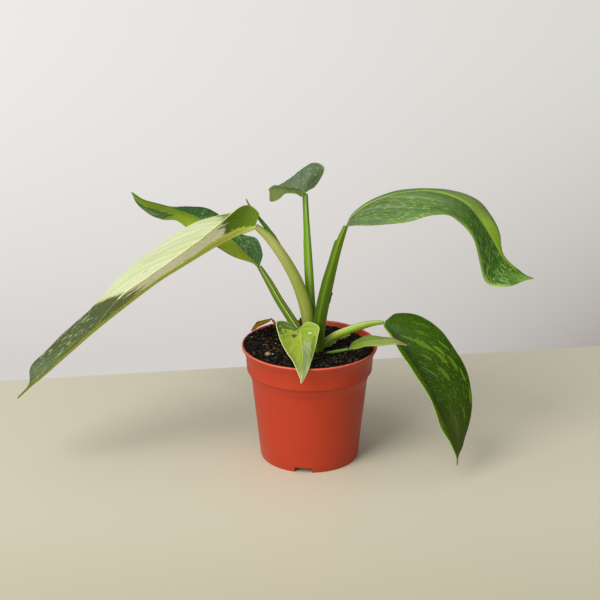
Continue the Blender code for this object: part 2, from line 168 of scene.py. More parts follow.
bpy.ops.object.light_add(type="AREA", location=SOFTBOX_PLACE)
softbox = bpy.context.object
softbox.name = "softbox"
softbox.data.shape = "RECTANGLE"
softbox.data.size, softbox.data.size_y = SOFTBOX_SIZE
softbox.data.energy = 60.0
softbox.data.color = (1.0, 0.985, 0.96)
softbox.rotation_euler = (SOFTBOX_AIM - softbox.location).to_track_quat("-Z", "Y").to_euler()


# ---------------------------------------------------------------- nursery pot
# Thin injection-moulded pot in terracotta-coloured plastic: drain holes, a foot ring with
# low notches, a stepped body, a plain collar and a flared lip with a rough trimmed edge.
# Its rings are (radius, height) in mm, out along the base, up the outside and back down.
POT_SEGMENTS = 192
PAD_RADIUS = 19.4 * MM
PAD_THICKNESS = 0.5 * MM
POT_RINGS_MM = [
    (19.8, 2.0), (20.4, 3.9), (21.2, 4.5), (28.0, 4.5), (36.5, 4.5), (37.0, 4.0), (37.0, 0.3),
    (37.2, 0.0), (37.7, 0.0), (38.2, 0.5), (38.6, 1.6), (40.2, 18.0), (41.3, 28.4), (42.4, 38.7),
    (43.5, 49.0), (44.5, 59.0), (44.95, 63.6), (45.2, 64.8), (45.4, 65.2), (46.2, 68.2),
    (46.75, 69.8), (47.3, 71.3), (47.7, 72.1), (48.0, 72.3), (48.7, 72.6), (48.95, 77.8),
    (48.9, 78.0), (49.05, 78.2), (49.2, 81.0), (49.7, 84.5), (50.6, 87.3), (51.8, 89.6),
    (52.3, 90.4), (52.5, 91.1), (52.5, 92.2), (52.3, 92.6), (52.0, 92.8), (51.5, 92.8),
    (51.2, 92.5), (51.0, 91.8), (50.7, 89.8), (49.4, 87.5), (48.4, 84.5), (48.0, 81.0),
    (47.3, 72.4), (44.1, 64.4), (43.8, 63.5), (37.8, 7.2), (36.4, 5.7), (20.2, 5.7),
    (19.4, 5.1), (18.2, 1.2)]
LIP_HEIGHT = 92.0 * MM
COLLAR_FOOT = 72.5 * MM
DRAIN_HOLES = 8
DRAIN_RING_RADIUS = 29.0 * MM
DRAIN_HOLE_RADIUS = 3.5 * MM
DRAIN_CUT_DEPTH = 6.0 * MM
BASE_HEIGHT = 5.0 * MM
FOOT_NOTCHES = 3
FIRST_NOTCH_ANGLE = 262.9
FOOT_RADIUS = 37.6 * MM
NOTCH_SIZE = (6.0 * MM, 13.5 * MM, 8.4 * MM)

# The wall is drawn out ring by ring from a small pad under the middle of the base.
bpy.ops.mesh.primitive_cylinder_add(vertices=POT_SEGMENTS, radius=PAD_RADIUS,
                                    depth=PAD_THICKNESS, location=(0.0, 0.0, PAD_THICKNESS / 2.0))
pot = bpy.context.object
pot.name = "pot_shell"
bpy.ops.object.transform_apply(location=True, rotation=True, scale=True)
bpy.ops.object.mode_set(mode="EDIT")
bpy.ops.mesh.select_mode(type="FACE")
edit = bmesh.from_edit_mesh(pot.data)
for face in edit.faces:
    face.select_set(face.normal.z > 0.9)
bmesh.update_edit_mesh(pot.data)
radius, height = PAD_RADIUS, PAD_THICKNESS
for ring_radius, ring_height in POT_RINGS_MM:
    lift = ring_height * MM - height
    grow = ring_radius * MM / radius
    bpy.ops.mesh.extrude_region_move(TRANSFORM_OT_translate={"value": (0.0, 0.0, lift)})
    bpy.ops.transform.resize(value=(grow, grow, 1.0), center_override=(0.0, 0.0, ring_height * MM))
    radius, height = ring_radius * MM, ring_height * MM
bpy.ops.object.mode_set(mode="OBJECT")


def cut_away(piece, cutter):
    """Cut one solid out of another, then throw the cutter away."""
    cut = piece.modifiers.new("cut", "BOOLEAN")
    cut.operation = "DIFFERENCE"
    cut.solver = "EXACT"
    cut.object = cutter
    bpy.ops.object.select_all(action="DESELECT")
    bpy.context.view_layer.objects.active = piece
    bpy.ops.object.modifier_apply(modifier=cut.name)
    bpy.data.objects.remove(cutter, do_unlink=True)


for i in range(DRAIN_HOLES):
    turn = 2.0 * math.pi * (i + 0.5) / DRAIN_HOLES
    bpy.ops.mesh.primitive_cylinder_add(
        vertices=32, radius=DRAIN_HOLE_RADIUS, depth=DRAIN_CUT_DEPTH,
        location=(DRAIN_RING_RADIUS * math.cos(turn), DRAIN_RING_RADIUS * math.sin(turn),
                  BASE_HEIGHT))
    cut_away(pot, bpy.context.object)
for i in range(FOOT_NOTCHES):
    turn = math.radians(FIRST_NOTCH_ANGLE + 360.0 / FOOT_NOTCHES * i)
    bpy.ops.mesh.primitive_cube_add(
        size=1.0, location=(FOOT_RADIUS * math.cos(turn), FOOT_RADIUS * math.sin(turn), 0.0),
        rotation=(0.0, 0.0, turn), scale=NOTCH_SIZE)
    cut_away(pot, bpy.context.object)

# The trimmed lip is never quite true: small nicks and burrs along its top edge.
for vert in pot.data.vertices:
    if vert.co.z > LIP_HEIGHT:
        out = vert.co.xy.normalized()
        nick = noise.noise(Vector((out.x * 34.0, out.y * 34.0, 1.0)))
        burr = noise.noise(Vector((out.x * 9.0, out.y * 9.0, 4.0)))
        vert.co.z += (0.22 * nick + 0.18 * burr - 0.16) * MM
        vert.co.xy += out * (0.12 * nick * MM)


def emboss(tree, shader, height, strength, depth):
    """Raise the surface of a finish where the height is great, to a depth in metres."""
    bump = node(tree, "Bump", {"Strength": strength, "Distance": depth, "Height": height})
    tree.links.new(bump.outputs[0], shader.inputs["Normal"])


pot_finish, tree, shader = new_finish("terracotta_plastic", 0.42)
shader.inputs["Specular IOR Level"].default_value = 0.30
place = node(tree, "TexCoord").outputs["Object"]
parts = node(tree, "SeparateXYZ", {0: place})
stretched = node(tree, "Mapping", {"Vector": place, "Scale": (1.0, 1.0, 0.06)}).outputs[0]
streaks = cloudy(tree, stretched, 320.0, 3.0)
flow = cloudy(tree, place, 38.0, 3.0)
speck = cloudy(tree, place, 1500.0, 2.0)
scuff = cloudy(tree, place, 210.0, 6.0, 0.7)
colour = blend_in(tree, flow, shade(168, 48, 18), shade(183, 58, 25))
colour = blend_in(tree, calc(tree, "MULTIPLY", streaks, 0.30), colour, shade(150, 40, 16))
colour = blend_in(tree, rise(tree, scuff, 0.66, 0.74, 0.0, 0.30), colour, shade(196, 96, 68))
# Painted shade: a thin dark line just under the foot of the collar, where the ledge throws its
# shade.
off_crease = calc(tree, "ABSOLUTE", calc(tree, "SUBTRACT", parts.outputs[2], COLLAR_FOOT))
painted_crease_shade = rise(tree, off_crease, 0.8 * MM, 0.3 * MM, 0.0, 0.55)
colour = blend_in(tree, painted_crease_shade, colour, shade(84, 20, 10))
# Painted highlight: the top edge of the lip is painted lighter, a pale pink gleam along the rim.
painted_lip_highlight = rise(tree, parts.outputs[2], LIP_HEIGHT - 0.6 * MM, LIP_HEIGHT + 0.2 * MM, 0.0, 0.8)
colour = blend_in(tree, painted_lip_highlight, colour, shade(216, 104, 78))
tree.links.new(colour, shader.inputs["Base Color"])
tree.links.new(rise(tree, flow, 0.3, 0.7, 0.36, 0.48), shader.inputs["Roughness"])
relief = calc(tree, "MULTIPLY_ADD", speck, 0.35, calc(tree, "MULTIPLY", streaks, 0.6))
emboss(tree, shader, relief, 0.25, 0.12 * MM)


def finish_off(piece, finish, smooth_angle):
    """Give the piece its finish and smooth shading, with sharp edges kept above an angle."""
    piece.data.materials.clear()
    piece.data.materials.append(finish)
    bpy.ops.object.select_all(action="DESELECT")
    piece.select_set(True)
    bpy.context.view_layer.objects.active = piece
    bpy.ops.object.shade_smooth_by_angle(angle=math.radians(smooth_angle))


finish_off(pot, pot_finish, 32.0)
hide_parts("nursery_pot")
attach(pot, "root")


# ---------------------------------------------------------------- potting soil
# Moist dark peat: a crumbly surface of small lumps over the filled pot, with loose crumbs,
# brown fibres, a chip of bark and pale grit.  It lies a little lower on the right.  Heights
# and places are in mm, and the wall inside the pot is (height, radius).
SOIL_TOP = 89.0
SOIL_SLOPE = -0.05
SOIL_GRID = 250
SOIL_DEPTH = 2.0
SOIL_RIM_RADIUS = 49.0
CRUMBS = 1300
FIBRES = 520
PERLITE_SPECKS = 26
POT_WALL = [(80.0, 47.8), (84.5, 48.4), (87.5, 49.4), (89.8, 50.7), (91.8, 51.0), (99.0, 51.0)]

# One fixed seed, so that the clods are the same each time.
noise.seed_set(11)


def soil_height(x, y):
    """Height in mm of the filled soil under its crumbs."""
    bumps = 0.35 * math.sin(0.31 * x + 0.8) * math.cos(0.27 * y - 0.4)
    return SOIL_TOP + SOIL_SLOPE * x + bumps


def crumbly(x, y):
    """How far the clods and crumbs stand above that, in mm."""
    spot = Vector((x, y, 0.0))
    warp = noise.noise_vector(spot * 0.22) * 2.2
    clods = noise.voronoi((spot + warp) * 0.24)[0]
    lumps = noise.voronoi((spot + warp) * 0.55 + Vector((9.0, 2.0, 0.0)))[0]
    fine = noise.noise(spot * 1.6)
    heap = 2.6 * min(0.9, clods[1] - clods[0]) + 1.6 * min(0.8, lumps[1] - lumps[0])
    return max(0.10, heap - 0.15 + 0.45 * fine)


def wall_radius(height):
    """The inside radius of the pot at a height, in mm."""
    for (low_z, low_r), (high_z, high_r) in zip(POT_WALL, POT_WALL[1:]):
        if height <= high_z:
            return low_r + (high_r - low_r) * (height - low_z) / (high_z - low_z)
    return POT_WALL[-1][1]


bpy.ops.mesh.primitive_grid_add(x_subdivisions=SOIL_GRID, y_subdivisions=SOIL_GRID, size=2.0)
soil = bpy.context.object
soil.name = "soil_surface"
# The square grid is drawn round, and its edge let a little into the wall of the pot.
for vert in soil.data.vertices:
    gx, gy = vert.co.x, vert.co.y
    disc = Vector((gx * math.sqrt(1.0 - gy * gy / 2.0), gy * math.sqrt(1.0 - gx * gx / 2.0)))
    rim = disc.normalized() * SOIL_RIM_RADIUS
    x, y = disc * (wall_radius(soil_height(rim.x, rim.y) + 0.8) + 0.15)
    vert.co = Vector((x, y, soil_height(x, y) + crumbly(x, y))) * MM
bpy.ops.object.mode_set(mode="EDIT")
bpy.ops.mesh.select_mode(type="EDGE")
bpy.ops.mesh.select_all(action="DESELECT")
bpy.ops.mesh.select_non_manifold()
bpy.ops.mesh.extrude_region_move(TRANSFORM_OT_translate={"value": (0.0, 0.0, -SOIL_DEPTH * MM)})
bpy.ops.transform.resize(value=(0.95, 0.95, 1.0), center_override=(0.0, 0.0, 0.0))
bpy.ops.mesh.edge_face_add()
bpy.ops.object.mode_set(mode="OBJECT")


def colour_run(tree, value, stops):
    """Colours along a value, from a list of (place, colour)."""
    ramp = node(tree, "ValToRGB", {0: value})
    marks = ramp.color_ramp.elements
    while len(marks) < len(stops):
        marks.new(0.5)
    for mark, stop in zip(marks, stops):
        mark.position = stop[0]
    for mark, stop in zip(marks, stops):
        mark.color = stop[1]
    return ramp.outputs[0]


soil_finish, tree, shader = new_finish("moist_peat", 0.85)
shader.inputs["Specular IOR Level"].default_value = 0.15
place = node(tree, "TexCoord").outputs["Object"]
clod = cloudy(tree, place, 210.0, 6.0, 0.65)
bits = node(tree, "TexVoronoi", {"Vector": place, "Scale": 430.0}).outputs["Color"]
bit = node(tree, "SeparateColor", {0: bits}).outputs[0]
hair = cloudy(tree, place, 1500.0, 4.0)
parts = node(tree, "SeparateXYZ", {0: place})
above = calc(tree, "MULTIPLY_ADD", parts.outputs[0], -SOIL_SLOPE, parts.outputs[2])
# Painted shade: the soil is painted near black wherever it lies low between the clods, and in the
# filled soil below.
painted_hollow_shade = rise(tree, above, (SOIL_TOP + 1.8) * MM, (SOIL_TOP + 0.4) * MM, 0.0, 0.95)
# The colours follow the clods that also raise the surface: near black in their low parts, partly
# painted shade, and lighter brown on their tops, partly painted highlight and partly the peat's own
# colour.
colour = colour_run(tree, clod, [(0.36, shade(7, 5, 3)), (0.50, shade(20, 15, 9)),
                                 (0.58, shade(42, 31, 18)), (0.70, shade(100, 77, 46))])
colour = blend_in(tree, rise(tree, bit, 0.93, 0.96, 0.0, 0.6), colour, shade(112, 84, 48))
colour = blend_in(tree, painted_hollow_shade, colour, shade(4, 3, 2))
tree.links.new(colour, shader.inputs["Base Color"])
emboss(tree, shader, calc(tree, "MULTIPLY_ADD", hair, 0.4, clod), 1.0, 0.6 * MM)
tree.links.new(rise(tree, clod, 0.3, 0.7, 0.55, 0.90), shader.inputs["Roughness"])
finish_off(soil, soil_finish, 70.0)
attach(soil, "root")

# The filled soil below keeps its solid and has the same finish.
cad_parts["potting_soil"].material_slots[0].material = soil_finish


def scatter(name, pattern, places, finish):
    """One mesh of many copies of a small shape, each at its own place, size and turn."""
    corners = [v.co.copy() for v in pattern.data.vertices]
    loops = [tuple(p.vertices) for p in pattern.data.polygons]
    bpy.data.objects.remove(pattern, do_unlink=True)
    verts, faces = [], []
    for matrix, seed in places:
        first = len(verts)
        for corner in corners:
            dent = 1.0 + 0.35 * noise.noise(corner * 1.7 + Vector((seed, 0.0, 0.0)))
            verts.append(matrix @ (corner * dent))
        faces.extend(tuple(first + i for i in loop) for loop in loops)
    mesh = bpy.data.meshes.new(name)
    mesh.from_pydata(verts, [], faces)
    piece = bpy.data.objects.new(name, mesh)
    bpy.context.scene.collection.objects.link(piece)
    finish_off(piece, finish, 50.0)
    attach(piece, "root")


CROWN = Vector((3.0, 1.0))
chance = random.Random(11)


def on_soil(reach, clear=11.0):
    """A random spot on the soil in mm, clear of the crown where the stalks rise."""
    while True:
        spot = Vector((chance.uniform(-reach, reach), chance.uniform(-reach, reach)))
        if spot.length < reach and (spot - CROWN).length > clear:
            return spot


def lying(spot, size, sink):
    """Where a loose bit of that size (x, y, z in mm) lies on the soil, turned at random and
    sunk in by a part of its height."""
    height = soil_height(spot.x, spot.y) + crumbly(spot.x, spot.y) + size[2] * (1.0 - sink)
    turn = Matrix.Rotation(chance.uniform(0.0, 6.283), 4, "Z")
    tip = Matrix.Rotation(chance.uniform(-0.5, 0.5), 4, "X") @ Matrix.Rotation(
        chance.uniform(-0.5, 0.5), 4, "Y")
    scale = Matrix.Diagonal((size[0] * MM, size[1] * MM, size[2] * MM, 1.0))
    return Matrix.Translation(Vector((spot.x, spot.y, height)) * MM) @ turn @ tip @ scale


crumb_places = []
for i in range(CRUMBS):
    size = chance.uniform(0.35, 1.5) * (0.7 if i % 3 else 1.1)
    shape = (size * chance.uniform(0.9, 2.0), size * chance.uniform(0.6, 1.0), size * 0.65)
    crumb_places.append((lying(on_soil(48.0), shape, 0.45), i * 0.37))
bpy.ops.mesh.primitive_ico_sphere_add(subdivisions=2, radius=1.0)
scatter("soil_crumbs", bpy.context.object, crumb_places, soil_finish)

# Fibres: short bent shreds of coir and peat, some of them pale.
fibre_finish, tree, shader = new_finish("peat_fibre", 0.85)
place = node(tree, "TexCoord").outputs["Object"]
tint = cloudy(tree, place, 150.0, 2.0)
tree.links.new(colour_run(tree, tint, [(0.35, shade(30, 22, 16)), (0.5, shade(66, 47, 30)),
                                       (0.62, shade(104, 78, 50)), (0.72, shade(150, 124, 90))]),
               shader.inputs["Base Color"])
bpy.ops.mesh.primitive_cylinder_add(vertices=4, radius=1.0, depth=2.0)
shred = bpy.context.object
bpy.ops.object.mode_set(mode="EDIT")
bpy.ops.mesh.select_all(action="SELECT")
bpy.ops.mesh.subdivide(number_cuts=1)
bpy.ops.object.mode_set(mode="OBJECT")
for vert in shred.data.vertices:
    vert.co = Vector((vert.co.z, vert.co.x, vert.co.y + 0.9 * (1.0 - vert.co.z ** 2)))
fibre_places = []
for i in range(FIBRES):
    length = chance.uniform(0.8, 3.4)
    shape = (length, chance.uniform(0.10, 0.28), chance.uniform(0.10, 0.24))
    fibre_places.append((lying(on_soil(47.0, 9.0), shape, 0.6), i * 0.61))
scatter("soil_fibres", shred, fibre_places, fibre_finish)

# Grit specks: tiny white crumbs of perlite, and the two larger grains of the frame.
perlite_finish, tree, shader = new_finish("perlite_white", 0.9)
place = node(tree, "TexCoord").outputs["Object"]
pore = cloudy(tree, place, 1300.0, 4.0)
tree.links.new(colour_run(tree, pore, [(0.35, shade(150, 142, 130)), (0.6, shade(228, 224, 216))]),
               shader.inputs["Base Color"])
emboss(tree, shader, pore, 0.8, 0.3 * MM)
speck_places = []
for i in range(PERLITE_SPECKS):
    size = chance.uniform(0.22, 0.5)
    speck_places.append((lying(on_soil(45.0, 10.0), (size, size * 0.8, size * 0.7), 0.3), i * 0.9))
bpy.ops.mesh.primitive_ico_sphere_add(subdivisions=1, radius=1.0)
scatter("perlite_specks", bpy.context.object, speck_places, perlite_finish)


def rough_lump(name, node_name, finish, bite):
    """A grain or chip in the place of its CAD solid, with a pitted, broken surface."""
    low, high = (Vector(corner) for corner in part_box(node_name))
    bpy.ops.mesh.primitive_ico_sphere_add(subdivisions=4, radius=1.0)
    piece = bpy.context.object
    piece.name = name
    middle, half = (low + high) / 2.0, (high - low) / 2.0
    for vert in piece.data.vertices:
        way = vert.co.normalized()
        pits = noise.turbulence(way * 1.9 + middle * 900.0, 4, False)
        facet = 1.0 - bite * abs(noise.noise(way * 1.2 + middle * 400.0))
        reach = facet * (1.0 - 0.25 * bite * pits)
        vert.co = middle + Vector((way.x * half.x, way.y * half.y, way.z * half.z)) * reach
    finish_off(piece, finish, 60.0)
    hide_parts(node_name)
    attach(piece, "root")


rough_lump("grain_left", "perlite_grain_left", perlite_finish, 0.5)
rough_lump("grain_front", "perlite_grain_front", perlite_finish, 0.5)

bark_finish, tree, shader = new_finish("pale_bark", 0.85)
place = node(tree, "TexCoord").outputs["Object"]
flattened = node(tree, "Mapping", {"Vector": place, "Scale": (1.0, 1.0, 5.0)}).outputs[0]
layers = cloudy(tree, flattened, 420.0, 5.0)
tree.links.new(colour_run(tree, layers, [(0.32, shade(70, 48, 30)), (0.5, shade(138, 108, 74)),
                                         (0.66, shade(190, 164, 126))]), shader.inputs["Base Color"])
emboss(tree, shader, layers, 0.9, 0.4 * MM)
rough_lump("bark_flake", "bark_chip", bark_finish, 0.7)


# ---------------------------------------------------------------- crown
# The short stem under the soil, with its main roots.  It keeps its solid and gets a skin of
# brown-green bark with soil caught in it.
stem_finish, tree, shader = new_finish("stem_skin", 0.7)
place = node(tree, "TexCoord").outputs["Object"]
skin = cloudy(tree, place, 190.0, 5.0)
tree.links.new(colour_run(tree, skin, [(0.35, shade(34, 26, 18)), (0.55, shade(74, 70, 34)),
                                       (0.70, shade(104, 108, 48))]), shader.inputs["Base Color"])
emboss(tree, shader, skin, 0.8, 0.5 * MM)
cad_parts["stem_and_roots"].material_slots[0].material = stem_finish


# ---------------------------------------------------------------- leaf stalks
# Each leaf stands on its own fleshy stalk.  The lower part is a sheath that once wrapped the
# next leaf, with raised edges that end in a small step.  Above it the stalk is rounder.
STALK_ROUND = 40
STALK_RINGS = 110


def smooth_run(points, count):
    """Points at even steps along a smooth curve through the given points."""
    pts = [Vector(p) for p in points]
    ends = [2 * pts[0] - pts[1]] + pts + [2 * pts[-1] - pts[-2]]
    spans = len(pts) - 1
    run = []
    for i in range(count + 1):
        at = i * spans / count
        k = min(int(at), spans - 1)
        t = at - k
        a, b, c, d = ends[k:k + 4]
        run.append(0.5 * (2 * b + (c - a) * t + (2 * a - 5 * b + 4 * c - d) * t ** 2
                          + (3 * b - a - 3 * c + d) * t ** 3))
    return run


def heading(path, row):
    """Which way a path runs at one of its points."""
    return (path[min(row + 1, len(path) - 1)] - path[max(row - 1, 0)]).normalized()


def soft_step(value, low, high):
    """0 below low, 1 above high and a smooth rise between them."""
    t = min(1.0, max(0.0, (value - low) / (high - low)))
    return t * t * (3.0 - 2.0 * t)


def close_tube(merge, sides):
    """Join the seam of the active tube within a distance, cap its ends, which have up to so
    many sides, and turn its faces outwards."""
    bpy.ops.object.mode_set(mode="EDIT")
    bpy.ops.mesh.select_all(action="SELECT")
    bpy.ops.mesh.remove_doubles(threshold=merge)
    bpy.ops.mesh.select_all(action="DESELECT")
    bpy.ops.mesh.select_non_manifold()
    bpy.ops.mesh.fill_holes(sides=sides)
    bpy.ops.mesh.select_all(action="SELECT")
    bpy.ops.mesh.normals_make_consistent(inside=False)
    bpy.ops.object.mode_set(mode="OBJECT")


def stalk(name, node_name, knots, finish, ridges=(), crinkle=0.0, torn=0.0):
    """A stalk through knots of (x, y, z, radius) in mm.

    Each ridge is (side, width, height, start, end): the side and width in degrees round from
    the front, the height in mm, and start and end as parts of the length.  torn is how far
    the ridges are bitten away, and crinkle how uneven a dry stalk is."""
    bpy.ops.mesh.primitive_grid_add(x_subdivisions=STALK_ROUND, y_subdivisions=STALK_RINGS,
                                    size=1.0)
    piece = bpy.context.object
    piece.name = name
    path = smooth_run([k[:3] for k in knots], STALK_RINGS)
    girth = smooth_run([(k[3], 0.0, 0.0) for k in knots], STALK_RINGS)
    for vert in piece.data.vertices:
        row = round((vert.co.y + 0.5) * STALK_RINGS)
        angle = 2.0 * math.pi * (vert.co.x + 0.5)
        along = heading(path, row)
        front = (Vector((0.0, -1.0, 0.0)) + along * along.y).normalized()
        side = along.cross(front)
        part = row / STALK_RINGS
        reach = girth[row].x
        for ridge_side, width, height, start, end in ridges:
            off = (math.degrees(angle) - ridge_side + 180.0) % 360.0 - 180.0
            hold = soft_step(part, start, start + 0.03) * (1.0 - soft_step(part, end, end + 0.02))
            bite = 1.0 + torn * noise.noise(Vector((36.0 * part, ridge_side, 0.5)))
            reach += height * math.exp(-(off / width) ** 2) * hold * bite
        way = front * math.cos(angle) + side * math.sin(angle)
        if crinkle:
            reach *= 1.0 + crinkle * noise.noise(path[row] * 0.5 + way * 1.5)
        vert.co = (path[row] + way * reach) * MM
    close_tube(0.01 * MM, STALK_ROUND)
    finish_off(piece, finish, 75.0)
    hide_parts(node_name)
    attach(piece, "root")


def toned(tree, colour, amount, value):
    """The colour made darker, or lighter where value is over 1, by an amount."""
    other = node(tree, "HueSaturation", {"Color": colour, "Value": value}).outputs[0]
    return blend_in(tree, amount, colour, other)


def stalk_skin(name, colours, stripes=(), roughness=0.42):
    """Stalk finish: colours along the stalk from its foot, and stripes of (side in degrees,
    width in degrees, colour, strength) that run up it, under fine lengthwise lines."""
    finish, tree, shader = new_finish(name, roughness)
    shader.inputs["Specular IOR Level"].default_value = 0.18
    split = node(tree, "SeparateXYZ", {0: node(tree, "UVMap").outputs[0]})
    u, v = split.outputs[0], split.outputs[1]
    place = node(tree, "TexCoord").outputs["Object"]
    drift = cloudy(tree, place, 130.0, 3.0)
    shift = calc(tree, "MULTIPLY_ADD", drift, 0.16, -0.08)
    colour = colour_run(tree, calc(tree, "ADD", v, shift), colours)
    for side, width, stripe, strength in stripes:
        from_side = calc(tree, "MULTIPLY_ADD", drift, 0.03,
                         calc(tree, "SUBTRACT", u, side / 360.0 + 0.015))
        off = calc(tree, "ABSOLUTE", calc(tree, "WRAP", from_side, 0.5, -0.5))
        near = rise(tree, off, width / 360.0, 0.25 * width / 360.0, 0.0, strength)
        colour = blend_in(tree, near, colour, stripe)
    lines_at = node(tree, "CombineXYZ", {0: calc(tree, "MULTIPLY", u, 60.0),
                                         1: calc(tree, "MULTIPLY", v, 2.2)}).outputs[0]
    lines = cloudy(tree, lines_at, 1.0, 3.0)
    colour = toned(tree, colour, rise(tree, lines, 0.50, 0.34, 0.0, 0.7), 0.72)
    colour = toned(tree, colour, rise(tree, lines, 0.52, 0.68, 0.0, 0.7), 1.18)
    tree.links.new(colour, shader.inputs["Base Color"])
    emboss(tree, shader, lines, 0.35, 0.15 * MM)
    return finish


stalk("petiole_left_long", "stalk_left_long", [
    (0.3, 1.0, 85.0, 4.6), (-0.2, 1.0, 103.0, 4.8), (-2.8, 0.0, 122.0, 4.8),
    (-8.6, -1.0, 141.0, 4.4), (-15.8, -2.0, 156.6, 4.0), (-24.4, -3.0, 171.0, 3.6),
    (-32.3, -3.3, 181.0, 3.2), (-40.5, -4.2, 188.8, 2.2)],
    stalk_skin("pale_stalk", [(0.0, shade(140, 152, 56)), (0.45, shade(142, 152, 64)),
                              (0.75, shade(170, 172, 100)), (1.0, shade(154, 166, 84))],
               [(75.0, 60.0, shade(136, 152, 54), 0.5), (285.0, 40.0, shade(132, 150, 52), 0.5),
                (335.0, 26.0, shade(150, 158, 86), 0.3)]),
    ridges=[(68.0, 24.0, 0.35, 0.0, 0.86), (292.0, 22.0, 0.30, 0.0, 0.80),
            (180.0, 40.0, -0.9, 0.1, 0.9)])
stalk("petiole_left_back", "stalk_left_back", [
    (-3.5, 9.5, 87.0, 3.2), (-6.0, 9.5, 95.2, 3.7), (-13.0, 11.5, 106.3, 3.5),
    (-23.8, 14.0, 123.2, 3.2), (-31.2, 17.0, 136.1, 2.8), (-39.0, 20.1, 148.5, 1.8)],
    stalk_skin("striped_stalk", [(0.0, shade(100, 134, 20)), (0.6, shade(96, 130, 14)),
                                 (1.0, shade(110, 142, 26))],
               # The narrow pale stripe at 12 degrees, along the raised edge, is a painted highlight;
               # the other stripes are the stalk's own.
               [(285.0, 62.0, shade(64, 98, 2), 0.85), (12.0, 12.0, shade(186, 200, 132), 0.8),
                (60.0, 34.0, shade(130, 150, 44), 0.8), (38.0, 6.0, shade(66, 96, 10), 0.7)]),
    ridges=[(12.0, 12.0, 0.35, 0.0, 0.9), (38.0, 9.0, -0.35, 0.0, 0.85)])
stalk("petiole_centre", "stalk_centre", [
    (4.0, 10.8, 86.0, 3.0), (3.2, 11.0, 95.0, 3.3), (1.4, 10.0, 116.4, 3.3),
    (-0.9, 8.0, 154.0, 3.2), (-2.5, 6.0, 186.7, 2.4), (-3.6, 5.1, 211.2, 2.1)],
    stalk_skin("bright_stalk", [(0.0, shade(116, 156, 10)), (0.55, shade(116, 158, 10)),
                                (0.78, shade(102, 146, 16)), (1.0, shade(98, 136, 44))],
               [(275.0, 50.0, shade(88, 132, 4), 0.6), (80.0, 46.0, shade(98, 142, 6), 0.6),
                # Painted highlight: the pale stripe down the front of the stalk.
                (4.0, 26.0, shade(170, 192, 120), 0.6)]),
    ridges=[(300.0, 24.0, 0.50, 0.0, 0.72), (60.0, 24.0, 0.25, 0.0, 0.80),
            (8.0, 22.0, -0.22, 0.0, 0.8)])
stalk("petiole_right_arch", "stalk_right_arch", [
    (7.0, -8.0, 85.5, 3.6), (7.6, -7.0, 102.3, 4.1), (9.1, -6.0, 118.3, 4.4),
    (13.9, -5.5, 142.6, 4.1), (18.4, -5.5, 161.0, 3.2), (22.4, -5.0, 176.0, 2.8),
    (26.9, -5.0, 189.0, 1.8)],
    stalk_skin("deep_stalk", [(0.0, shade(86, 110, 28)), (0.12, shade(60, 88, 2)),
                              (0.4, shade(66, 96, 0)), (0.75, shade(104, 132, 6)),
                              (1.0, shade(122, 146, 24))],
               [(290.0, 44.0, shade(56, 84, 0), 0.7), (8.0, 26.0, shade(52, 80, 0), 0.8),
                (60.0, 40.0, shade(100, 126, 8), 0.8), (332.0, 14.0, shade(96, 124, 8), 0.6)]),
    ridges=[(278.0, 22.0, 1.25, 0.0, 0.84), (30.0, 20.0, 0.30, 0.0, 0.74),
            (350.0, 22.0, -0.3, 0.0, 0.8)])
stalk("petiole_right_low", "stalk_right_low", [
    (10.5, 1.5, 87.0, 2.4), (12.2, 0.3, 93.0, 2.9), (17.3, -2.0, 98.4, 3.0),
    (26.5, -5.0, 104.2, 3.1), (38.6, -8.0, 109.9, 2.9), (49.2, -11.0, 113.8, 2.1),
    (56.6, -13.1, 115.0, 1.3)],
    stalk_skin("sheathed_stalk", [(0.0, shade(164, 180, 92)), (0.5, shade(152, 176, 68)),
                                  (0.85, shade(128, 158, 44)), (1.0, shade(112, 146, 34))],
               [(278.0, 10.0, shade(150, 128, 84), 0.75), (300.0, 12.0, shade(182, 200, 120), 0.8),
                (20.0, 24.0, shade(116, 152, 26), 0.6), (345.0, 8.0, shade(96, 134, 22), 0.6)]),
    ridges=[(285.0, 12.0, 0.35, 0.05, 0.9), (320.0, 14.0, -0.45, 0.05, 0.85),
            (350.0, 14.0, 0.25, 0.05, 0.8), (84.0, 20.0, 1.6, 0.10, 0.54)], torn=1.1)
stalk("petiole_front_small", "stalk_front_small", [
    (-3.0, -7.5, 86.0, 1.3), (-5.6, -11.0, 98.0, 1.4), (-8.4, -16.6, 110.6, 1.1)],
    stalk_skin("young_stalk", [(0.0, shade(150, 170, 80)), (1.0, shade(146, 178, 60))],
               [(0.0, 30.0, shade(176, 200, 110), 0.5)]))
stalk("petiole_right_small", "stalk_right_small", [
    (12.0, -11.0, 84.0, 1.1), (13.4, -11.6, 88.6, 1.2), (18.8, -13.0, 90.6, 1.4),
    (29.5, -15.9, 94.0, 1.0)],
    stalk_skin("small_stalk", [(0.0, shade(84, 104, 38)), (0.3, shade(84, 112, 32)),
                               (1.0, shade(82, 116, 30))],
               [(300.0, 30.0, shade(128, 148, 84), 0.7)]))


# ---------------------------------------------------------------- leaf blades
# Thin waxy blades, each with a midrib that stands proud underneath, close slanting side
# veins and a rippled edge.  The variegation is flecks and patches of cream and lime that
# follow the veins.  Sizes are in mm.
BLADE_ROWS_PER_RIB = 14
BLADE_COLUMNS = 56
BLADE_THICKNESS = 0.42
TIP_HALF_WIDTH = 0.5
FULL_RIPPLE_WIDTH = 9.0
GROOVE_DEPTH = 0.22
CORD_SIDES = 12
CORD_TIP_RADIUS = 0.22
CORD_DROP = 0.22


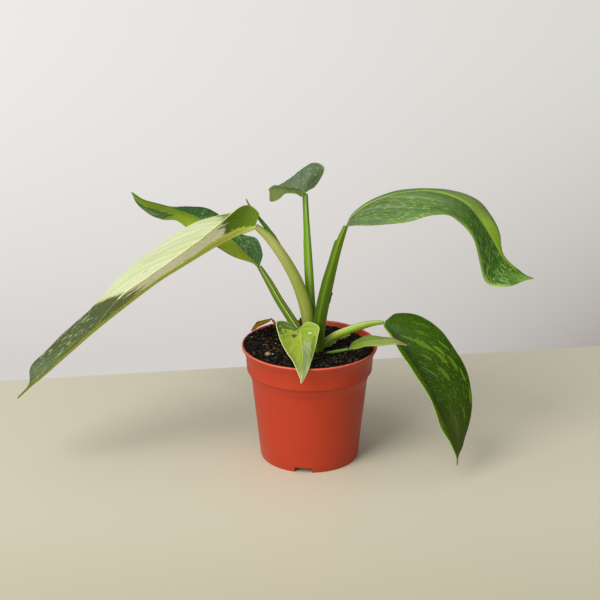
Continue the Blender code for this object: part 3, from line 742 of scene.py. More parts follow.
def blade(name, node_name, ribs, tip, camber, upper, under, wave, veins=(30.0, 0.10),
          lean=0.12, crumple=0.0, rib_size=0.8):
    """A blade over ribs of (left edge, midrib, right edge) in mm, seen from above the leaf and
    looking from its stalk to its tip.

    camber is how much each half bulges, wave the number and height in mm of the ripples along
    its edges, and veins those of its side veins, which sweep forward by lean.  crumple is how
    uneven a dry blade is, and rib_size the radius in mm of the midrib at its foot."""
    last = [Vector(p) for p in ribs[-1]]
    end = Vector(tip)
    tip_rib = (end + (last[0] - last[1]).normalized() * TIP_HALF_WIDTH, end,
               end + (last[2] - last[1]).normalized() * TIP_HALF_WIDTH)
    every = list(ribs) + [tip_rib]
    rows = (len(every) - 1) * BLADE_ROWS_PER_RIB
    left, mid, right = (smooth_run([rib[k] for rib in every], rows) for k in range(3))
    bpy.ops.mesh.primitive_grid_add(x_subdivisions=BLADE_COLUMNS, y_subdivisions=rows, size=1.0)
    piece = bpy.context.object
    piece.name = name
    for vert in piece.data.vertices:
        part = vert.co.y + 0.5
        row = round(part * rows)
        across = 2.0 * vert.co.x
        along = heading(mid, row)
        up = (right[row] - left[row]).cross(along).normalized()
        edge, bulge = (left[row], camber[0]) if across < 0 else (right[row], camber[1])
        t = abs(across)
        width = (edge - mid[row]).length
        lift = bulge * width * 4 * t * (1 - t)
        taper = min(1.0, width / FULL_RIPPLE_WIDTH)
        phase = 0.0 if across < 0 else 1.9
        lift += wave[1] * taper * t ** 3 * math.sin(2 * math.pi * wave[0] * part + phase)
        lift += veins[1] * taper * 4 * t * (1 - t) * math.sin(
            2 * math.pi * veins[0] * (part - lean * t) + phase)
        lift -= GROOVE_DEPTH * taper * math.exp(-(t / 0.07) ** 2)
        place = mid[row].lerp(edge, t)
        lift += 0.35 * taper * t * noise.noise(place * 0.09)
        if crumple:
            lift += crumple * (0.25 + t) * noise.noise(place * 0.42)
        vert.co = (place + up * lift) * MM
    piece.data.materials.append(upper)
    piece.data.materials.append(under)
    wall = piece.modifiers.new("leaf_thickness", "SOLIDIFY")
    wall.thickness = BLADE_THICKNESS * MM
    wall.offset = 0.0
    wall.material_offset = 1
    wall.material_offset_rim = 1
    bpy.ops.object.modifier_apply(modifier=wall.name)

    # The midrib: a tapered cord of firmer tissue let into the underside.
    bpy.ops.mesh.primitive_grid_add(x_subdivisions=CORD_SIDES, y_subdivisions=rows, size=1.0)
    cord = bpy.context.object
    for vert in cord.data.vertices:
        part = vert.co.y + 0.5
        row = round(part * rows)
        angle = 2.0 * math.pi * (vert.co.x + 0.5)
        along = heading(mid, row)
        side = (right[row] - left[row]).normalized()
        up = side.cross(along).normalized()
        side = along.cross(up).normalized()
        reach = rib_size * (1.0 - part) ** 0.8 + CORD_TIP_RADIUS
        centre = mid[row] - up * (0.55 * reach + CORD_DROP)
        vert.co = (centre + side * math.cos(angle) * reach + up * math.sin(angle) * reach) * MM
    close_tube(0.001 * MM, CORD_SIDES + 2)
    cord.data.materials.append(upper)
    cord.data.materials.append(under)
    for face in cord.data.polygons:
        face.material_index = 1
    for corner in cord.data.uv_layers.active.data:
        corner.uv.x = 0.5
    bpy.ops.object.select_all(action="DESELECT")
    cord.select_set(True)
    piece.select_set(True)
    bpy.context.view_layer.objects.active = piece
    bpy.ops.object.join()
    bpy.ops.object.shade_smooth_by_angle(angle=math.radians(70.0))
    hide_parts(node_name)
    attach(piece, "root")


def leaf_skin(name, left, right, flecks=None, patches=(), margin=None, rib=None, lean=0.12,
              slant=0.0, ragged=0.05, cells=(70.0, 14.0), vein_mark=0.35, roughness=0.42,
              shine=0.28, clear=0.1):
    """Blade finish.  left and right are the colours along each half from stalk to tip.  The
    bounds between them lie square to the midrib, or slope by slant.

    flecks is (colour, amounts along the left half, amounts along the right half).  Each patch
    is (u, v, half width, half length, colour, strength), drawn out along the side veins.
    margin is (width, colour, strengths along the left, strengths along the right) and rib is
    (width, colour).  lean is how far the side veins sweep forward, vein_mark how strongly they
    show and ragged how far the bounds between colours stray.  cells counts the finest marks
    along the blade and out from its midrib.  shine is the gloss and clear is how much light
    comes through the blade."""
    finish, tree, shader = new_finish(name, roughness)
    shader.inputs["Specular IOR Level"].default_value = shine
    shader.inputs["Subsurface Weight"].default_value = clear
    shader.inputs["Subsurface Radius"].default_value = (1.0, 1.0, 0.8)
    shader.inputs["Subsurface Scale"].default_value = 3.0 * MM
    split = node(tree, "SeparateXYZ", {0: node(tree, "UVMap").outputs[0]})
    u, v = split.outputs[0], split.outputs[1]
    offset = calc(tree, "SUBTRACT", u, 0.5)
    out = calc(tree, "MULTIPLY", calc(tree, "ABSOLUTE", offset), 2.0)
    on_right = calc(tree, "GREATER_THAN", offset, 0.0)
    swept = calc(tree, "MULTIPLY_ADD", out, -lean, v)

    def halves(of_left, of_right):
        """An amount along the leaf, given for each half as (place, amount)."""
        steps = [colour_run(tree, v, [(p, (a, a, a, 1.0)) for p, a in amounts])
                 for amounts in (of_left, of_right)]
        return blend_in(tree, on_right, steps[0], steps[1])

    def marks(along_scale, out_scale, detail):
        """Noise drawn out along the side veins, in parts of the finest marks."""
        at = node(tree, "CombineXYZ", {0: calc(tree, "MULTIPLY", swept, cells[0] * along_scale),
                                       1: calc(tree, "MULTIPLY", out, cells[1] * out_scale),
                                       2: calc(tree, "MULTIPLY", on_right, 7.3)}).outputs[0]
        return cloudy(tree, at, 1.0, detail, 0.6)

    tear = marks(0.30, 0.30, 4.0)
    soft = marks(0.10, 0.12, 3.0)
    strand = marks(0.80, 0.12, 3.0)
    bitten = calc(tree, "MULTIPLY_ADD", marks(0.7, 0.8, 2.0), 0.5, calc(tree, "MULTIPLY", tear, 0.5))
    jag = calc(tree, "MULTIPLY_ADD", tear, 4.0 * ragged, -2.0 * ragged)
    torn_v = calc(tree, "ADD", calc(tree, "MULTIPLY_ADD", out, -slant, v), jag)
    colour = blend_in(tree, on_right, colour_run(tree, torn_v, left),
                      colour_run(tree, torn_v, right))
    colour = toned(tree, colour, rise(tree, soft, 0.46, 0.62, 0.0, 0.7), 0.86)

    for pu, pv, half_u, half_v, patch, strength in patches:
        middle = pv - lean * abs(2.0 * pu - 1.0)
        from_middle = node(tree, "CombineXYZ", {
            0: calc(tree, "MULTIPLY_ADD", u, 1.0 / half_u, -pu / half_u),
            1: calc(tree, "MULTIPLY_ADD", swept, 1.0 / half_v, -middle / half_v)}).outputs[0]
        away = node(tree, "VectorMath", {0: from_middle}, operation="LENGTH").outputs["Value"]
        torn = calc(tree, "MULTIPLY_ADD", bitten, -3.0, calc(tree, "ADD", away, 1.5))
        colour = blend_in(tree, rise(tree, torn, 1.08, 0.92, 0.0, strength), colour, patch)

    if flecks:
        fleck, left_amount, right_amount = flecks
        amount = halves(left_amount, right_amount)
        small = calc(tree, "MULTIPLY_ADD", amount, 0.32, marks(1.0, 1.0, 1.5))
        colour = blend_in(tree, rise(tree, small, 0.78, 0.82), colour, fleck)
        large = calc(tree, "MULTIPLY_ADD", amount, 0.30, marks(0.42, 0.36, 3.0))
        colour = blend_in(tree, rise(tree, large, 0.80, 0.84, 0.0, 0.6), colour, fleck)

    colour = toned(tree, colour, rise(tree, strand, 0.48, 0.36, 0.0, vein_mark), 0.70)
    colour = toned(tree, colour, rise(tree, strand, 0.54, 0.68, 0.0, vein_mark), 1.22)
    if margin:
        width, edge, left_amount, right_amount = margin
        rim = rise(tree, calc(tree, "MULTIPLY_ADD", tear, 0.5 * width, out),
                   1.0 - 0.75 * width, 1.0 - 0.05 * width)
        colour = blend_in(tree, calc(tree, "MULTIPLY", rim, halves(left_amount, right_amount)),
                          colour, edge)
    if rib:
        width, line = rib
        colour = blend_in(tree, rise(tree, out, width, 0.4 * width), colour, line)
    tree.links.new(colour, shader.inputs["Base Color"])

    grain = cloudy(tree, node(tree, "TexCoord").outputs["Object"], 1700.0, 2.0)
    height = calc(tree, "MULTIPLY_ADD", strand, 1.2, calc(tree, "MULTIPLY", grain, 0.30))
    emboss(tree, shader, height, 0.35, 0.22 * MM)
    tree.links.new(rise(tree, soft, 0.3, 0.7, roughness - 0.06, roughness + 0.10),
                   shader.inputs["Roughness"])
    return finish


NONE = [(0.0, 0.0), (1.0, 0.0)]
EVEN = [(0.0, 1.0), (1.0, 1.0)]

# The long left leaf: green at its stalk, cream in the middle, dark with pale flecks beyond.
GREEN_FOOT = shade(112, 144, 30)
CREAM = shade(188, 196, 154)
# The underside cream is painted near white, lighter than the cream itself: painted light that stands
# in for the light coming through the thin blade.
CREAM_UNDER_WITH_PAINTED_LIGHT = shade(250, 255, 214)
DULL_GREEN = shade(64, 74, 30)
left_long_upper = leaf_skin(
    "cream_upper",
    [(0.0, GREEN_FOOT), (0.20, GREEN_FOOT), (0.23, CREAM), (0.50, CREAM),
     (0.53, DULL_GREEN), (1.0, shade(70, 90, 26))],
    [(0.0, GREEN_FOOT), (0.15, GREEN_FOOT), (0.165, shade(96, 122, 52)),
     (0.18, shade(186, 196, 140)), (0.24, CREAM), (0.48, CREAM), (0.495, shade(190, 198, 140)),
     (0.51, DULL_GREEN), (0.75, shade(58, 74, 26)), (1.0, shade(60, 80, 20))],
    flecks=(shade(160, 168, 118), [(0.0, 0.0), (0.53, 0.0), (0.62, 0.5), (1.0, 0.4)],
            [(0.0, 0.0), (0.56, 0.0), (0.62, 0.52), (0.9, 0.45), (1.0, 0.3)]),
    patches=[(0.80, 0.36, 0.010, 0.002, shade(92, 84, 50), 0.9),
             (0.66, 0.30, 0.008, 0.002, shade(92, 84, 50), 0.8),
             (0.72, 0.46, 0.010, 0.002, shade(110, 100, 60), 0.8),
             (0.72, 0.36, 0.16, 0.02, shade(180, 192, 128), 0.8),
             (0.75, 0.44, 0.18, 0.016, shade(178, 190, 126), 0.8),
             (0.70, 0.28, 0.16, 0.014, shade(176, 188, 124), 0.7),
             (0.60, 0.80, 0.16, 0.10, shade(64, 84, 14), 0.9),
             (0.50, 0.30, 0.016, 0.24, shade(190, 200, 130), 0.7)],
    margin=(0.03, shade(190, 198, 132), [(0.0, 1.0), (0.49, 1.0), (0.54, 0.0)],
            [(0.0, 1.0), (0.52, 1.0), (0.60, 0.2)]),
    lean=0.35, slant=0.075, cells=(85.0, 20.0), vein_mark=0.30, ragged=0.022, shine=0.45)
left_long_under = leaf_skin(
    "cream_under",
    [(0.0, shade(112, 148, 34)), (0.185, shade(100, 134, 26)), (0.215, shade(84, 110, 40)),
     (0.23, CREAM_UNDER_WITH_PAINTED_LIGHT), (0.475, CREAM_UNDER_WITH_PAINTED_LIGHT), (0.49, shade(190, 196, 130)),
     (0.50, shade(108, 124, 66)), (0.62, shade(102, 120, 54)), (1.0, shade(112, 136, 44))],
    [(0.0, shade(90, 134, 6)), (0.15, shade(92, 132, 10)), (0.19, CREAM_UNDER_WITH_PAINTED_LIGHT),
     (0.52, CREAM_UNDER_WITH_PAINTED_LIGHT), (0.56, DULL_GREEN), (1.0, shade(96, 124, 40))],
    flecks=(shade(190, 200, 150), [(0.0, 0.0), (0.51, 0.0), (0.58, 0.36), (0.8, 0.3), (1.0, 0.1)],
            [(0.0, 0.0), (0.56, 0.0), (0.64, 0.5), (1.0, 0.4)]),
    patches=[(0.49, 0.13, 0.07, 0.25, shade(204, 210, 92), 0.95),
             (0.47, 0.80, 0.09, 0.26, shade(172, 192, 54), 0.95)],
    margin=(0.04, shade(230, 232, 160),
            [(0.0, 0.0), (0.2, 0.2), (0.25, 0.9), (0.49, 0.9), (0.52, 0.0)],
            [(0.0, 1.0), (0.52, 1.0), (0.60, 0.2)]),
    rib=(0.11, shade(190, 200, 88)), lean=0.35, slant=0.07, cells=(85.0, 20.0), vein_mark=0.22,
    ragged=0.034, roughness=0.5)
blade("leaf_left_long", "blade_left_long", [
    ((-40.5, -5, 190.8), (-41, -4.3, 189.4), (-42, -3, 190.8)),
    ((-38, -5, 199), (-47, -6, 187), (-45, 6, 196)),
    ((-46, -11, 207), (-56, -8, 184), (-54, 17, 194)),
    ((-61, -25, 203), (-72, -11, 176), (-80, 18, 188)),
    ((-91, -44, 182), (-91, -15, 165), (-110, 13, 172)),
    ((-115, -48, 167), (-114, -19, 151), (-132, 8, 157)),
    ((-138, -50, 149), (-137, -23, 134), (-158, 0, 133)),
    ((-159, -53, 127), (-160, -27, 116), (-179, -7, 112)),
    ((-182, -50, 104), (-183, -30, 96), (-200, -16, 95)),
    ((-200, -45, 85), (-201, -33, 80), (-212, -26, 83)),
    ((-212, -39, 73), (-212, -35, 71), (-214, -32, 71))],
    (-222, -38, 62), (0.05, 0.05), left_long_upper, left_long_under,
    wave=(6.0, 0.7), veins=(17.0, 0.32), lean=0.35, rib_size=1.2)

# The back left leaf: lime along one half, dark with grey streaks on the other.
left_back_upper = leaf_skin(
    "lime_and_dark",
    # The lime near the stalk on the left half is partly the leaf's own colour and partly painted
    # light: it is made lighter to make up for the shadow that the long left leaf casts on it.
    [(0.0, shade(186, 210, 56)), (0.30, shade(178, 204, 42)), (0.46, shade(144, 170, 28)),
     (0.62, shade(106, 132, 4)), (0.85, shade(96, 124, 4)), (1.0, shade(92, 126, 8))],
    [(0.0, shade(92, 138, 60)), (0.24, shade(66, 112, 40)), (0.40, shade(50, 96, 34)),
     (0.62, shade(40, 80, 26)), (0.65, shade(76, 110, 20)), (0.67, shade(102, 128, 4)),
     (1.0, shade(96, 126, 6))],
    flecks=(shade(134, 168, 112), NONE, [(0.0, 0.74), (0.45, 0.62), (0.60, 0.3), (0.66, 0.0)]),
    patches=[(0.03, 0.82, 0.22, 0.14, shade(48, 74, 26), 0.97),
             # Painted highlight: the small grey spot inside the dark lens near the tip.
             (0.06, 0.80, 0.07, 0.06, shade(92, 114, 66), 0.6)],
    margin=(0.05, shade(112, 150, 36), [(0.0, 1.0), (0.58, 1.0), (0.64, 0.0)], EVEN),
    rib=(0.03, shade(134, 166, 30)), lean=0.3, cells=(80.0, 14.0), ragged=0.02)
left_back_under = leaf_skin(
    "lime_and_dark_under",
    [(0.0, shade(134, 158, 50)), (0.6, shade(132, 156, 40)), (1.0, shade(110, 144, 34))],
    [(0.0, shade(96, 130, 70)), (0.6, shade(80, 118, 60)), (1.0, shade(104, 138, 34))],
    flecks=(shade(146, 170, 120), NONE, [(0.0, 0.7), (0.9, 0.5)]),
    rib=(0.10, shade(134, 162, 50)), lean=0.3, cells=(80.0, 14.0), roughness=0.5)
blade("leaf_left_back", "blade_left_back", [
    ((-40, 19.2, 149.4), (-39.4, 20.2, 149), (-38.6, 21, 149.4)),
    ((-48, 13, 155), (-45, 25, 153), (-37, 38, 154)),
    ((-59, 10, 161), (-52, 31, 158), (-42, 53, 160)),
    ((-73, 16, 166), (-62, 39, 165), (-54, 63, 161)),
    ((-83, 22, 171), (-75, 47, 172), (-67, 72, 170)),
    ((-95, 31, 176), (-88, 55, 177), (-82, 79, 177)),
    ((-105, 41, 179), (-101, 62, 180), (-97, 84, 178)),
    ((-117, 50, 178), (-114, 68, 181), (-112, 86, 176)),
    ((-129, 60, 179), (-126, 73, 183), (-126, 86, 180)),
    ((-138, 72, 184), (-135, 77, 186), (-135, 83, 184))],
    (-143, 80, 191), (0.08, 0.06), left_back_upper, left_back_under,
    wave=(4.0, 0.6), veins=(22.0, 0.12), lean=0.22)

# The raised centre leaf: a grey-green half held up and an olive half that droops at its tip.
centre_upper = leaf_skin(
    "grey_green",
    [(0.0, shade(120, 142, 40)), (0.3, shade(106, 122, 48)), (0.7, shade(102, 116, 54)),
     (1.0, shade(96, 122, 46))],
    [(0.0, shade(80, 106, 54)), (0.35, shade(88, 106, 76)), (0.7, shade(82, 104, 64)),
     (1.0, shade(90, 114, 54))],
    flecks=(shade(138, 154, 122), [(0.0, 0.2), (1.0, 0.2)],
            [(0.0, 0.46), (0.5, 0.50), (1.0, 0.42)]),
    # Painted light: the pale patch at the right edge near the stalk lifts the shade where that edge
    # curls under.
    patches=[(0.97, 0.14, 0.16, 0.12, shade(122, 144, 100), 0.85)],
    margin=(0.07, shade(126, 156, 84), [(0.0, 0.2), (1.0, 0.2)],
            [(0.0, 0.8), (0.5, 0.7), (1.0, 0.3)]),
    rib=(0.08, shade(48, 82, 22)), lean=0.3, cells=(46.0, 12.0), vein_mark=0.6, roughness=0.45)
centre_under = leaf_skin(
    "grey_green_under",
    [(0.0, shade(140, 160, 84)), (1.0, shade(128, 150, 76))],
    [(0.0, shade(130, 152, 96)), (1.0, shade(126, 150, 84))],
    rib=(0.12, shade(140, 166, 66)), lean=0.3, cells=(46.0, 12.0), roughness=0.5)
blade("leaf_centre", "blade_centre", [
    ((-4.2, 4.2, 212.2), (-3.8, 5.2, 211.8), (-3.2, 6.2, 212.2)),
    ((-6, -5, 212), (-6, 9, 212), (4, 24, 212.5)),
    ((-11, -5, 215), (-11, 16, 211), (11, 33, 224)),
    ((-18, 0, 213), (-16, 24, 209), (1, 45, 224)),
    ((-23, 11, 206), (-21, 32, 208), (-9, 53, 213)),
    ((-30.5, 26, 200), (-27, 39, 206), (-20, 53, 204)),
    ((-31, 39, 202), (-30, 44, 204), (-28, 50, 205))],
    (-32, 47, 203), (0.04, 0.10), centre_upper, centre_under,
    wave=(2.5, 0.5), veins=(14.0, 0.12), lean=0.22)

# The arching right leaf: pale grey-green over the arch, partly its own colour and partly painted
# sheen, the studio's reflection; then dark and lime-flecked where it hangs, with a lime band
# beside the midrib on its far half.
arch_upper = leaf_skin(
    "arch_upper",
    # The grey-green near the stalk in both halves and the pale grey streaks there are partly the
    # leaf's own colour and partly painted sheen.
    [(0.0, shade(114, 138, 84)), (0.30, shade(98, 130, 64)), (0.45, shade(114, 144, 78)),
     (0.54, shade(136, 168, 66)), (0.60, shade(162, 198, 60)), (0.80, shade(150, 190, 40)),
     (0.86, shade(80, 128, 14)), (1.0, shade(96, 150, 10))],
    [(0.0, shade(104, 118, 84)), (0.06, shade(86, 102, 66)), (0.14, shade(76, 98, 50)),
     (0.30, shade(94, 120, 60)), (0.42, shade(94, 124, 60)), (0.50, shade(76, 114, 40)),
     (0.56, shade(60, 108, 22)), (0.76, shade(50, 102, 10)), (0.86, shade(62, 112, 8)),
     (1.0, shade(108, 156, 8))],
    flecks=(shade(132, 160, 84), [(0.0, 0.4), (0.3, 0.45), (0.5, 0.3), (0.7, 0.05), (1.0, 0.3)],
            [(0.0, 0.35), (0.10, 0.54), (0.36, 0.56), (0.48, 0.48), (0.6, 0.64), (0.8, 0.68),
             (0.88, 0.76), (1.0, 0.80)]),
    patches=[(0.12, 0.50, 0.24, 0.13, shade(118, 146, 86), 0.9),
             (0.90, 0.26, 0.18, 0.14, shade(82, 112, 50), 0.8),
             (0.465, 0.43, 0.035, 0.10, shade(150, 180, 60), 0.9),
             (0.75, 0.22, 0.14, 0.02, shade(132, 150, 118), 0.6),
             (0.68, 0.33, 0.14, 0.02, shade(128, 156, 96), 0.6),
             (0.80, 0.24, 0.16, 0.012, shade(62, 92, 34), 0.7),
             (0.88, 0.34, 0.10, 0.05, shade(72, 104, 38), 0.6),
             (0.66, 0.14, 0.10, 0.012, shade(70, 96, 48), 0.6)],
    margin=(0.12, shade(152, 178, 74), [(0.0, 0.2), (1.0, 0.3)],
            [(0.0, 0.1), (0.44, 0.15), (0.54, 0.9), (0.80, 0.9), (0.88, 0.1)]),
    rib=(0.03, shade(110, 138, 66)), lean=0.35, cells=(90.0, 20.0), vein_mark=0.8, ragged=0.02)
arch_under = leaf_skin(
    "arch_under",
    [(0.0, shade(134, 158, 84)), (0.5, shade(142, 172, 52)), (1.0, shade(108, 150, 38))],
    [(0.0, shade(128, 154, 88)), (0.5, shade(96, 136, 60)), (1.0, shade(92, 134, 44))],
    flecks=(shade(150, 180, 104), [(0.0, 0.4), (1.0, 0.3)], [(0.0, 0.5), (1.0, 0.6)]),
    margin=(0.08, shade(118, 152, 56), [(0.0, 0.2), (1.0, 0.5)], EVEN),
    rib=(0.10, shade(138, 170, 64)), lean=0.35, cells=(75.0, 18.0), roughness=0.5)
blade("leaf_right_arch", "blade_right_arch", [
    ((27.6, -4, 189.4), (27.2, -5, 189.6), (28, -6, 189.2)),
    ((35, 10, 195), (32, -3, 197), (39, -17, 194)),
    ((47, 21, 200), (45, 0, 206), (53, -21, 195)),
    ((66, 28, 205), (63, 3, 212), (70, -23, 198)),
    ((87, 31, 206), (84, 5, 214), (86, -24, 203)),
    ((109, 31, 206), (102, 6, 211), (102, -22, 203)),
    ((129, 28, 200), (118, 6, 203), (113, -20, 196)),
    ((140, 26, 188), (130, 6, 189), (122, -17, 182)),
    ((146, 22, 174), (139, 5, 175), (128, -13, 164)),
    ((149, 17, 160), (147, 4, 162), (135, -6, 144)),
    ((159, 12, 150), (157, 3, 152), (150, -7, 142)),
    ((166, 7, 146), (164, 2, 148), (162, -3, 145))],
    (171, 1, 146), (0.08, 0.08), arch_upper, arch_under,
    wave=(5.0, 0.6), veins=(20.0, 0.16), lean=0.35, rib_size=0.9)

# The low right leaf: deep green with lime blotches on its wide half, and a drip tip.
low_upper = leaf_skin(
    "low_upper",
    [(0.0, shade(66, 96, 30)), (0.08, shade(54, 82, 6)), (0.45, shade(44, 69, 0)),
     (0.60, shade(46, 68, 2)), (0.72, shade(56, 72, 10)), (0.86, shade(64, 78, 20)),
     (0.94, shade(58, 82, 14)), (1.0, shade(84, 118, 26))],
    [(0.0, shade(122, 154, 44)), (0.3, shade(112, 152, 32)), (0.7, shade(100, 138, 26)),
     (1.0, shade(90, 130, 22))],
    flecks=(shade(78, 116, 12), [(0.0, 0.3), (0.1, 0.55), (0.5, 0.58), (0.72, 0.42), (1.0, 0.4)],
            [(0.0, 0.2), (1.0, 0.2)]),
    patches=[(0.42, 0.13, 0.08, 0.06, shade(56, 92, 40), 0.6),
             (0.62, 0.50, 0.12, 0.60, shade(58, 90, 14), 0.85),
             (0.292, 0.312, 0.050, 0.026, shade(86, 118, 14), 0.95),
             (0.375, 0.25, 0.045, 0.010, shade(86, 122, 32), 0.8),
             (0.188, 0.357, 0.026, 0.014, shade(92, 132, 16), 0.95),
             (0.212, 0.39, 0.026, 0.020, shade(84, 118, 14), 0.9),
             (0.275, 0.447, 0.030, 0.026, shade(82, 114, 14), 0.9),
             (0.138, 0.23, 0.040, 0.012, shade(76, 114, 14), 0.7),
             (0.21, 0.27, 0.030, 0.012, shade(76, 112, 14), 0.6),
             (0.10, 0.35, 0.030, 0.010, shade(88, 130, 14), 0.9),
             (0.125, 0.417, 0.018, 0.028, shade(86, 128, 14), 0.9),
             (0.075, 0.473, 0.014, 0.030, shade(90, 132, 14), 0.9),
             (0.35, 0.36, 0.028, 0.010, shade(82, 120, 20), 0.8),
             (0.40, 0.42, 0.050, 0.009, shade(78, 108, 44), 0.7),
             (0.03, 0.57, 0.016, 0.036, shade(94, 136, 12), 0.9),
             (0.15, 0.637, 0.036, 0.009, shade(82, 112, 44), 0.85),
             (0.30, 0.70, 0.08, 0.05, shade(70, 86, 42), 0.5)],
    margin=(0.03, shade(92, 128, 24), [(0.0, 0.8), (0.4, 0.4), (1.0, 0.6)], EVEN),
    rib=(0.03, shade(112, 138, 44)), lean=0.35, cells=(95.0, 24.0), ragged=0.02, vein_mark=0.65,
    shine=0.14, clear=0.05)
low_under = leaf_skin(
    "low_under",
    [(0.0, shade(104, 140, 52)), (1.0, shade(92, 128, 48))],
    [(0.0, shade(140, 168, 64)), (0.5, shade(142, 170, 56)), (1.0, shade(110, 146, 42))],
    flecks=(shade(138, 172, 66), [(0.0, 0.6), (1.0, 0.5)], [(0.0, 0.3), (1.0, 0.3)]),
    margin=(0.06, shade(146, 176, 56), EVEN, EVEN), rib=(0.12, shade(148, 176, 74)), lean=0.5,
    cells=(60.0, 16.0), roughness=0.5)
blade("leaf_right_low", "blade_right_low", [
    ((58, -12.2, 116), (57.2, -13.2, 115), (57, -14.4, 115)),
    ((67, -4, 119), (59, -16, 112), (57, -23, 115)),
    ((83, -5, 118), (64, -20, 105), (62, -32, 110)),
    ((101, -14, 108), (72, -26, 95), (69, -42, 101)),
    ((114, -21, 91), (81, -32, 83), (77, -50, 90)),
    ((122, -25, 73), (89, -38, 70), (86, -54, 78)),
    ((124, -33, 58), (96, -44, 57), (93, -58, 64)),
    ((121, -40, 40), (103, -49, 43), (99, -60, 48)),
    ((117, -47, 29), (108, -53, 32), (106, -59, 35)),
    ((113, -55, 23), (112, -56, 23), (110.8, -57, 24))],
    (112, -57, 16), (0.10, 0.05), low_upper, low_under,
    wave=(5.0, 0.5), veins=(20.0, 0.14), lean=0.16, rib_size=0.9)

# The small front leaf: a young heart-shaped blade, yellow-green with a pale rim, one dark
# lobe and two worn spots.
front_upper = leaf_skin(
    "young_upper",
    [(0.0, shade(140, 158, 56)), (0.35, shade(138, 160, 48)), (0.65, shade(146, 164, 90)),
     (0.85, shade(186, 200, 140)), (1.0, shade(210, 220, 172))],
    [(0.0, shade(140, 162, 46)), (0.35, shade(162, 184, 52)), (0.65, shade(166, 184, 70)),
     (0.85, shade(192, 206, 130)), (1.0, shade(214, 222, 172))],
    flecks=(shade(110, 138, 40), [(0.0, 0.4), (0.3, 0.4), (0.5, 0.1), (1.0, 0.0)], NONE),
    patches=[(0.80, 0.12, 0.32, 0.21, shade(76, 100, 45), 0.95),
             (0.84, 0.13, 0.16, 0.020, shade(134, 150, 92), 0.8),
             (0.76, 0.20, 0.14, 0.014, shade(128, 146, 88), 0.7),
             (0.31, 0.60, 0.16, 0.20, shade(160, 178, 126), 0.8),
             (0.10, 0.48, 0.06, 0.10, shade(84, 124, 16), 0.7),
             (0.24, 0.17, 0.20, 0.03, shade(112, 150, 20), 0.7),
             (0.30, 0.26, 0.16, 0.014, shade(118, 154, 24), 0.6),
             (0.63, 0.33, 0.060, 0.034, shade(104, 116, 88), 0.95),
             (0.635, 0.335, 0.030, 0.014, shade(64, 66, 48), 0.9),
             (0.25, 0.305, 0.036, 0.013, shade(196, 204, 174), 0.9)],
    margin=(0.045, shade(196, 208, 140), [(0.0, 0.7), (1.0, 1.0)],
            [(0.0, 0.4), (0.4, 1.0), (1.0, 1.0)]),
    rib=(0.04, shade(166, 188, 84)), lean=0.2, cells=(40.0, 10.0), vein_mark=0.40, ragged=0.03)
front_under = leaf_skin(
    "young_under",
    [(0.0, shade(160, 188, 84)), (1.0, shade(186, 206, 124))],
    [(0.0, shade(152, 182, 80)), (1.0, shade(180, 202, 114))],
    margin=(0.08, shade(206, 222, 150), EVEN, EVEN), rib=(0.14, shade(180, 202, 110)), lean=0.2,
    cells=(26.0, 7.0), roughness=0.5)
blade("leaf_front_small", "blade_front_small", [
    ((-7.8, -16.4, 111.6), (-8.6, -17, 111.2), (-9.4, -18, 111.6)),
    ((-1, -15, 116), (-8, -20, 111), (-16, -22, 119)),
    ((7, -21, 115), (-7, -26, 109), (-25, -23, 119)),
    ((6, -27, 108), (-6, -35, 105), (-23, -38, 114)),
    ((3, -39, 99), (-5, -46, 101), (-17, -52, 106)),
    ((0, -53, 95), (-5, -58, 96), (-11, -62, 100)),
    ((-3, -63, 91), (-5, -65, 92), (-7, -67, 92))],
    (-6, -68, 88), (-0.06, -0.06), front_upper, front_under,
    wave=(3.0, 0.4), veins=(12.0, 0.10), lean=0.2)

# The small right leaf: narrow and lime, pinkish brown towards its drying tip.
small_upper = leaf_skin(
    "small_upper",
    [(0.0, shade(84, 118, 18)), (0.4, shade(100, 124, 36)), (0.62, shade(116, 134, 50)),
     (0.8, shade(128, 142, 70)), (1.0, shade(118, 118, 56))],
    [(0.0, shade(112, 140, 50)), (0.4, shade(122, 146, 60)), (0.62, shade(130, 148, 66)),
     (0.8, shade(140, 146, 78)), (1.0, shade(122, 116, 60))],
    flecks=(shade(146, 160, 96), [(0.0, 0.3), (1.0, 0.4)], [(0.0, 0.3), (1.0, 0.4)]),
    patches=[(0.5, 0.62, 0.4, 0.04, shade(168, 128, 86), 0.7),
             (0.5, 0.84, 0.4, 0.04, shade(150, 120, 74), 0.5)],
    margin=(0.12, shade(140, 158, 66), EVEN, EVEN), rib=(0.08, shade(146, 166, 84)), lean=0.4,
    cells=(36.0, 8.0), vein_mark=0.45)
blade("leaf_right_small", "blade_right_small", [
    ((30, -15, 94.4), (30, -16, 94.2), (30, -17, 94)),
    ((35, -15, 101), (36, -22, 100), (37, -29, 100)),
    ((44, -21, 107), (44, -30, 106), (45, -39, 106)),
    ((55, -30, 110), (54, -38, 110), (54, -46, 109)),
    ((64, -40, 112), (63, -45, 112), (63, -50, 112))],
    (72, -52, 112), (0.06, 0.06), small_upper, small_upper,
    wave=(3.0, 0.3), veins=(10.0, 0.08), lean=0.3, rib_size=0.5)


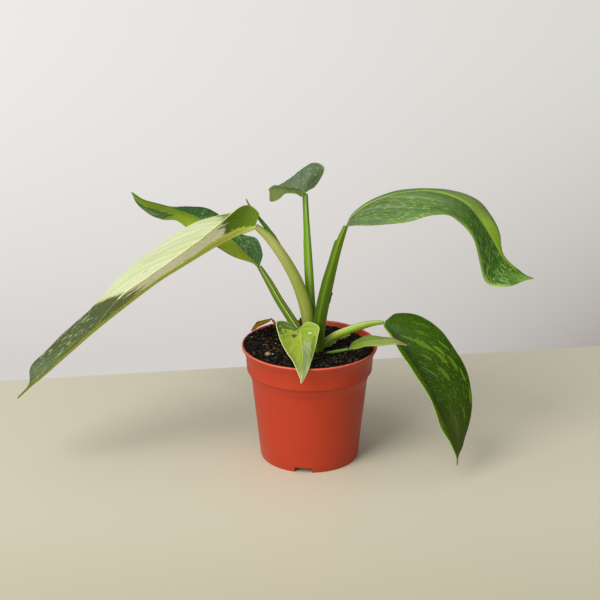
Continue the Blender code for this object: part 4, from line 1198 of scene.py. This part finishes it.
# ---------------------------------------------------------------- withered and dry pieces
# A yellowed leaf that has dried on its stalk behind the rim, a dead stub, and two ends of
# sheath, one still green and one papery.
withered_skin = leaf_skin(
    "withered_skin",
    [(0.0, shade(150, 94, 34)), (0.2, shade(206, 162, 24)), (0.75, shade(196, 150, 18)),
     (1.0, shade(140, 84, 24))],
    [(0.0, shade(130, 80, 34)), (0.2, shade(188, 142, 20)), (0.75, shade(176, 128, 18)),
     (1.0, shade(120, 70, 24))],
    flecks=(shade(110, 66, 22), [(0.0, 0.4), (1.0, 0.3)], [(0.0, 0.5), (1.0, 0.4)]),
    margin=(0.10, shade(138, 88, 24), EVEN, EVEN), cells=(24.0, 6.0), roughness=0.7)
blade("leaf_withered", "withered_leaf", [
    ((-31, 19.4, 105.2), (-30.2, 20.2, 105.6), (-29.4, 21, 105.4)),
    ((-37.2, 22.6, 103.0), (-34.4, 25, 101.8), (-32.0, 27.4, 100.2)),
    ((-42.0, 29, 98.6), (-38.8, 31.4, 97.4), (-36.2, 33.8, 95.4)),
    ((-44.6, 35, 92.8), (-42.4, 37, 92.4), (-40.6, 39, 91.2))],
    (-46.5, 41, 87), (0.1, 0.1), withered_skin, withered_skin,
    wave=(3.0, 0.3), crumple=0.35, rib_size=0.4)
stalk("petiole_withered", "withered_stalk", [
    (-7.5, 4.6, 86.0, 1.1), (-12.0, 7.6, 91.5, 1.0), (-21.0, 13.6, 97.8, 0.9),
    (-29.4, 19.4, 104.8, 0.8)],
    stalk_skin("dry_stalk", [(0.0, shade(84, 56, 34)), (0.6, shade(136, 92, 44)),
                             (1.0, shade(120, 70, 44))], roughness=0.75),
    crinkle=0.35)
stalk("stub", "dead_stub", [
    (-5.4, 2.6, 88.6, 1.3), (-6.2, 3.4, 99.0, 1.2), (-7.0, 4.0, 112.0, 0.8)],
    stalk_skin("dead_stub_skin", [(0.0, shade(52, 36, 30)), (0.6, shade(50, 34, 42)),
                                  (1.0, shade(36, 26, 40))], roughness=0.8),
    crinkle=0.4)
stalk("sheath_tip", "sheath_tongue", [
    (-22.6, -1.2, 173.6, 0.6), (-27.2, -0.6, 179.4, 1.5), (-31.8, 0.8, 184.8, 1.7),
    (-36.9, 2.0, 191.4, 1.4), (-41.3, 3.2, 197.0, 1.0), (-45.4, 4.0, 202.4, 0.7),
    (-48.1, 4.2, 207.6, 0.4)],
    stalk_skin("sheath_green", [(0.0, shade(80, 124, 30)), (0.6, shade(66, 108, 22)),
                                (1.0, shade(84, 108, 40))]), crinkle=0.1)
stalk("sheath_dried", "dry_sheath", [
    (12.4, 0.6, 116.5, 0.5), (14.4, 0.6, 125.0, 1.0), (17.2, 0.6, 134.0, 0.5)],
    stalk_skin("dried_sheath_skin", [(0.0, shade(96, 44, 40)), (1.0, shade(72, 30, 30))],
               roughness=0.8), crinkle=0.4)
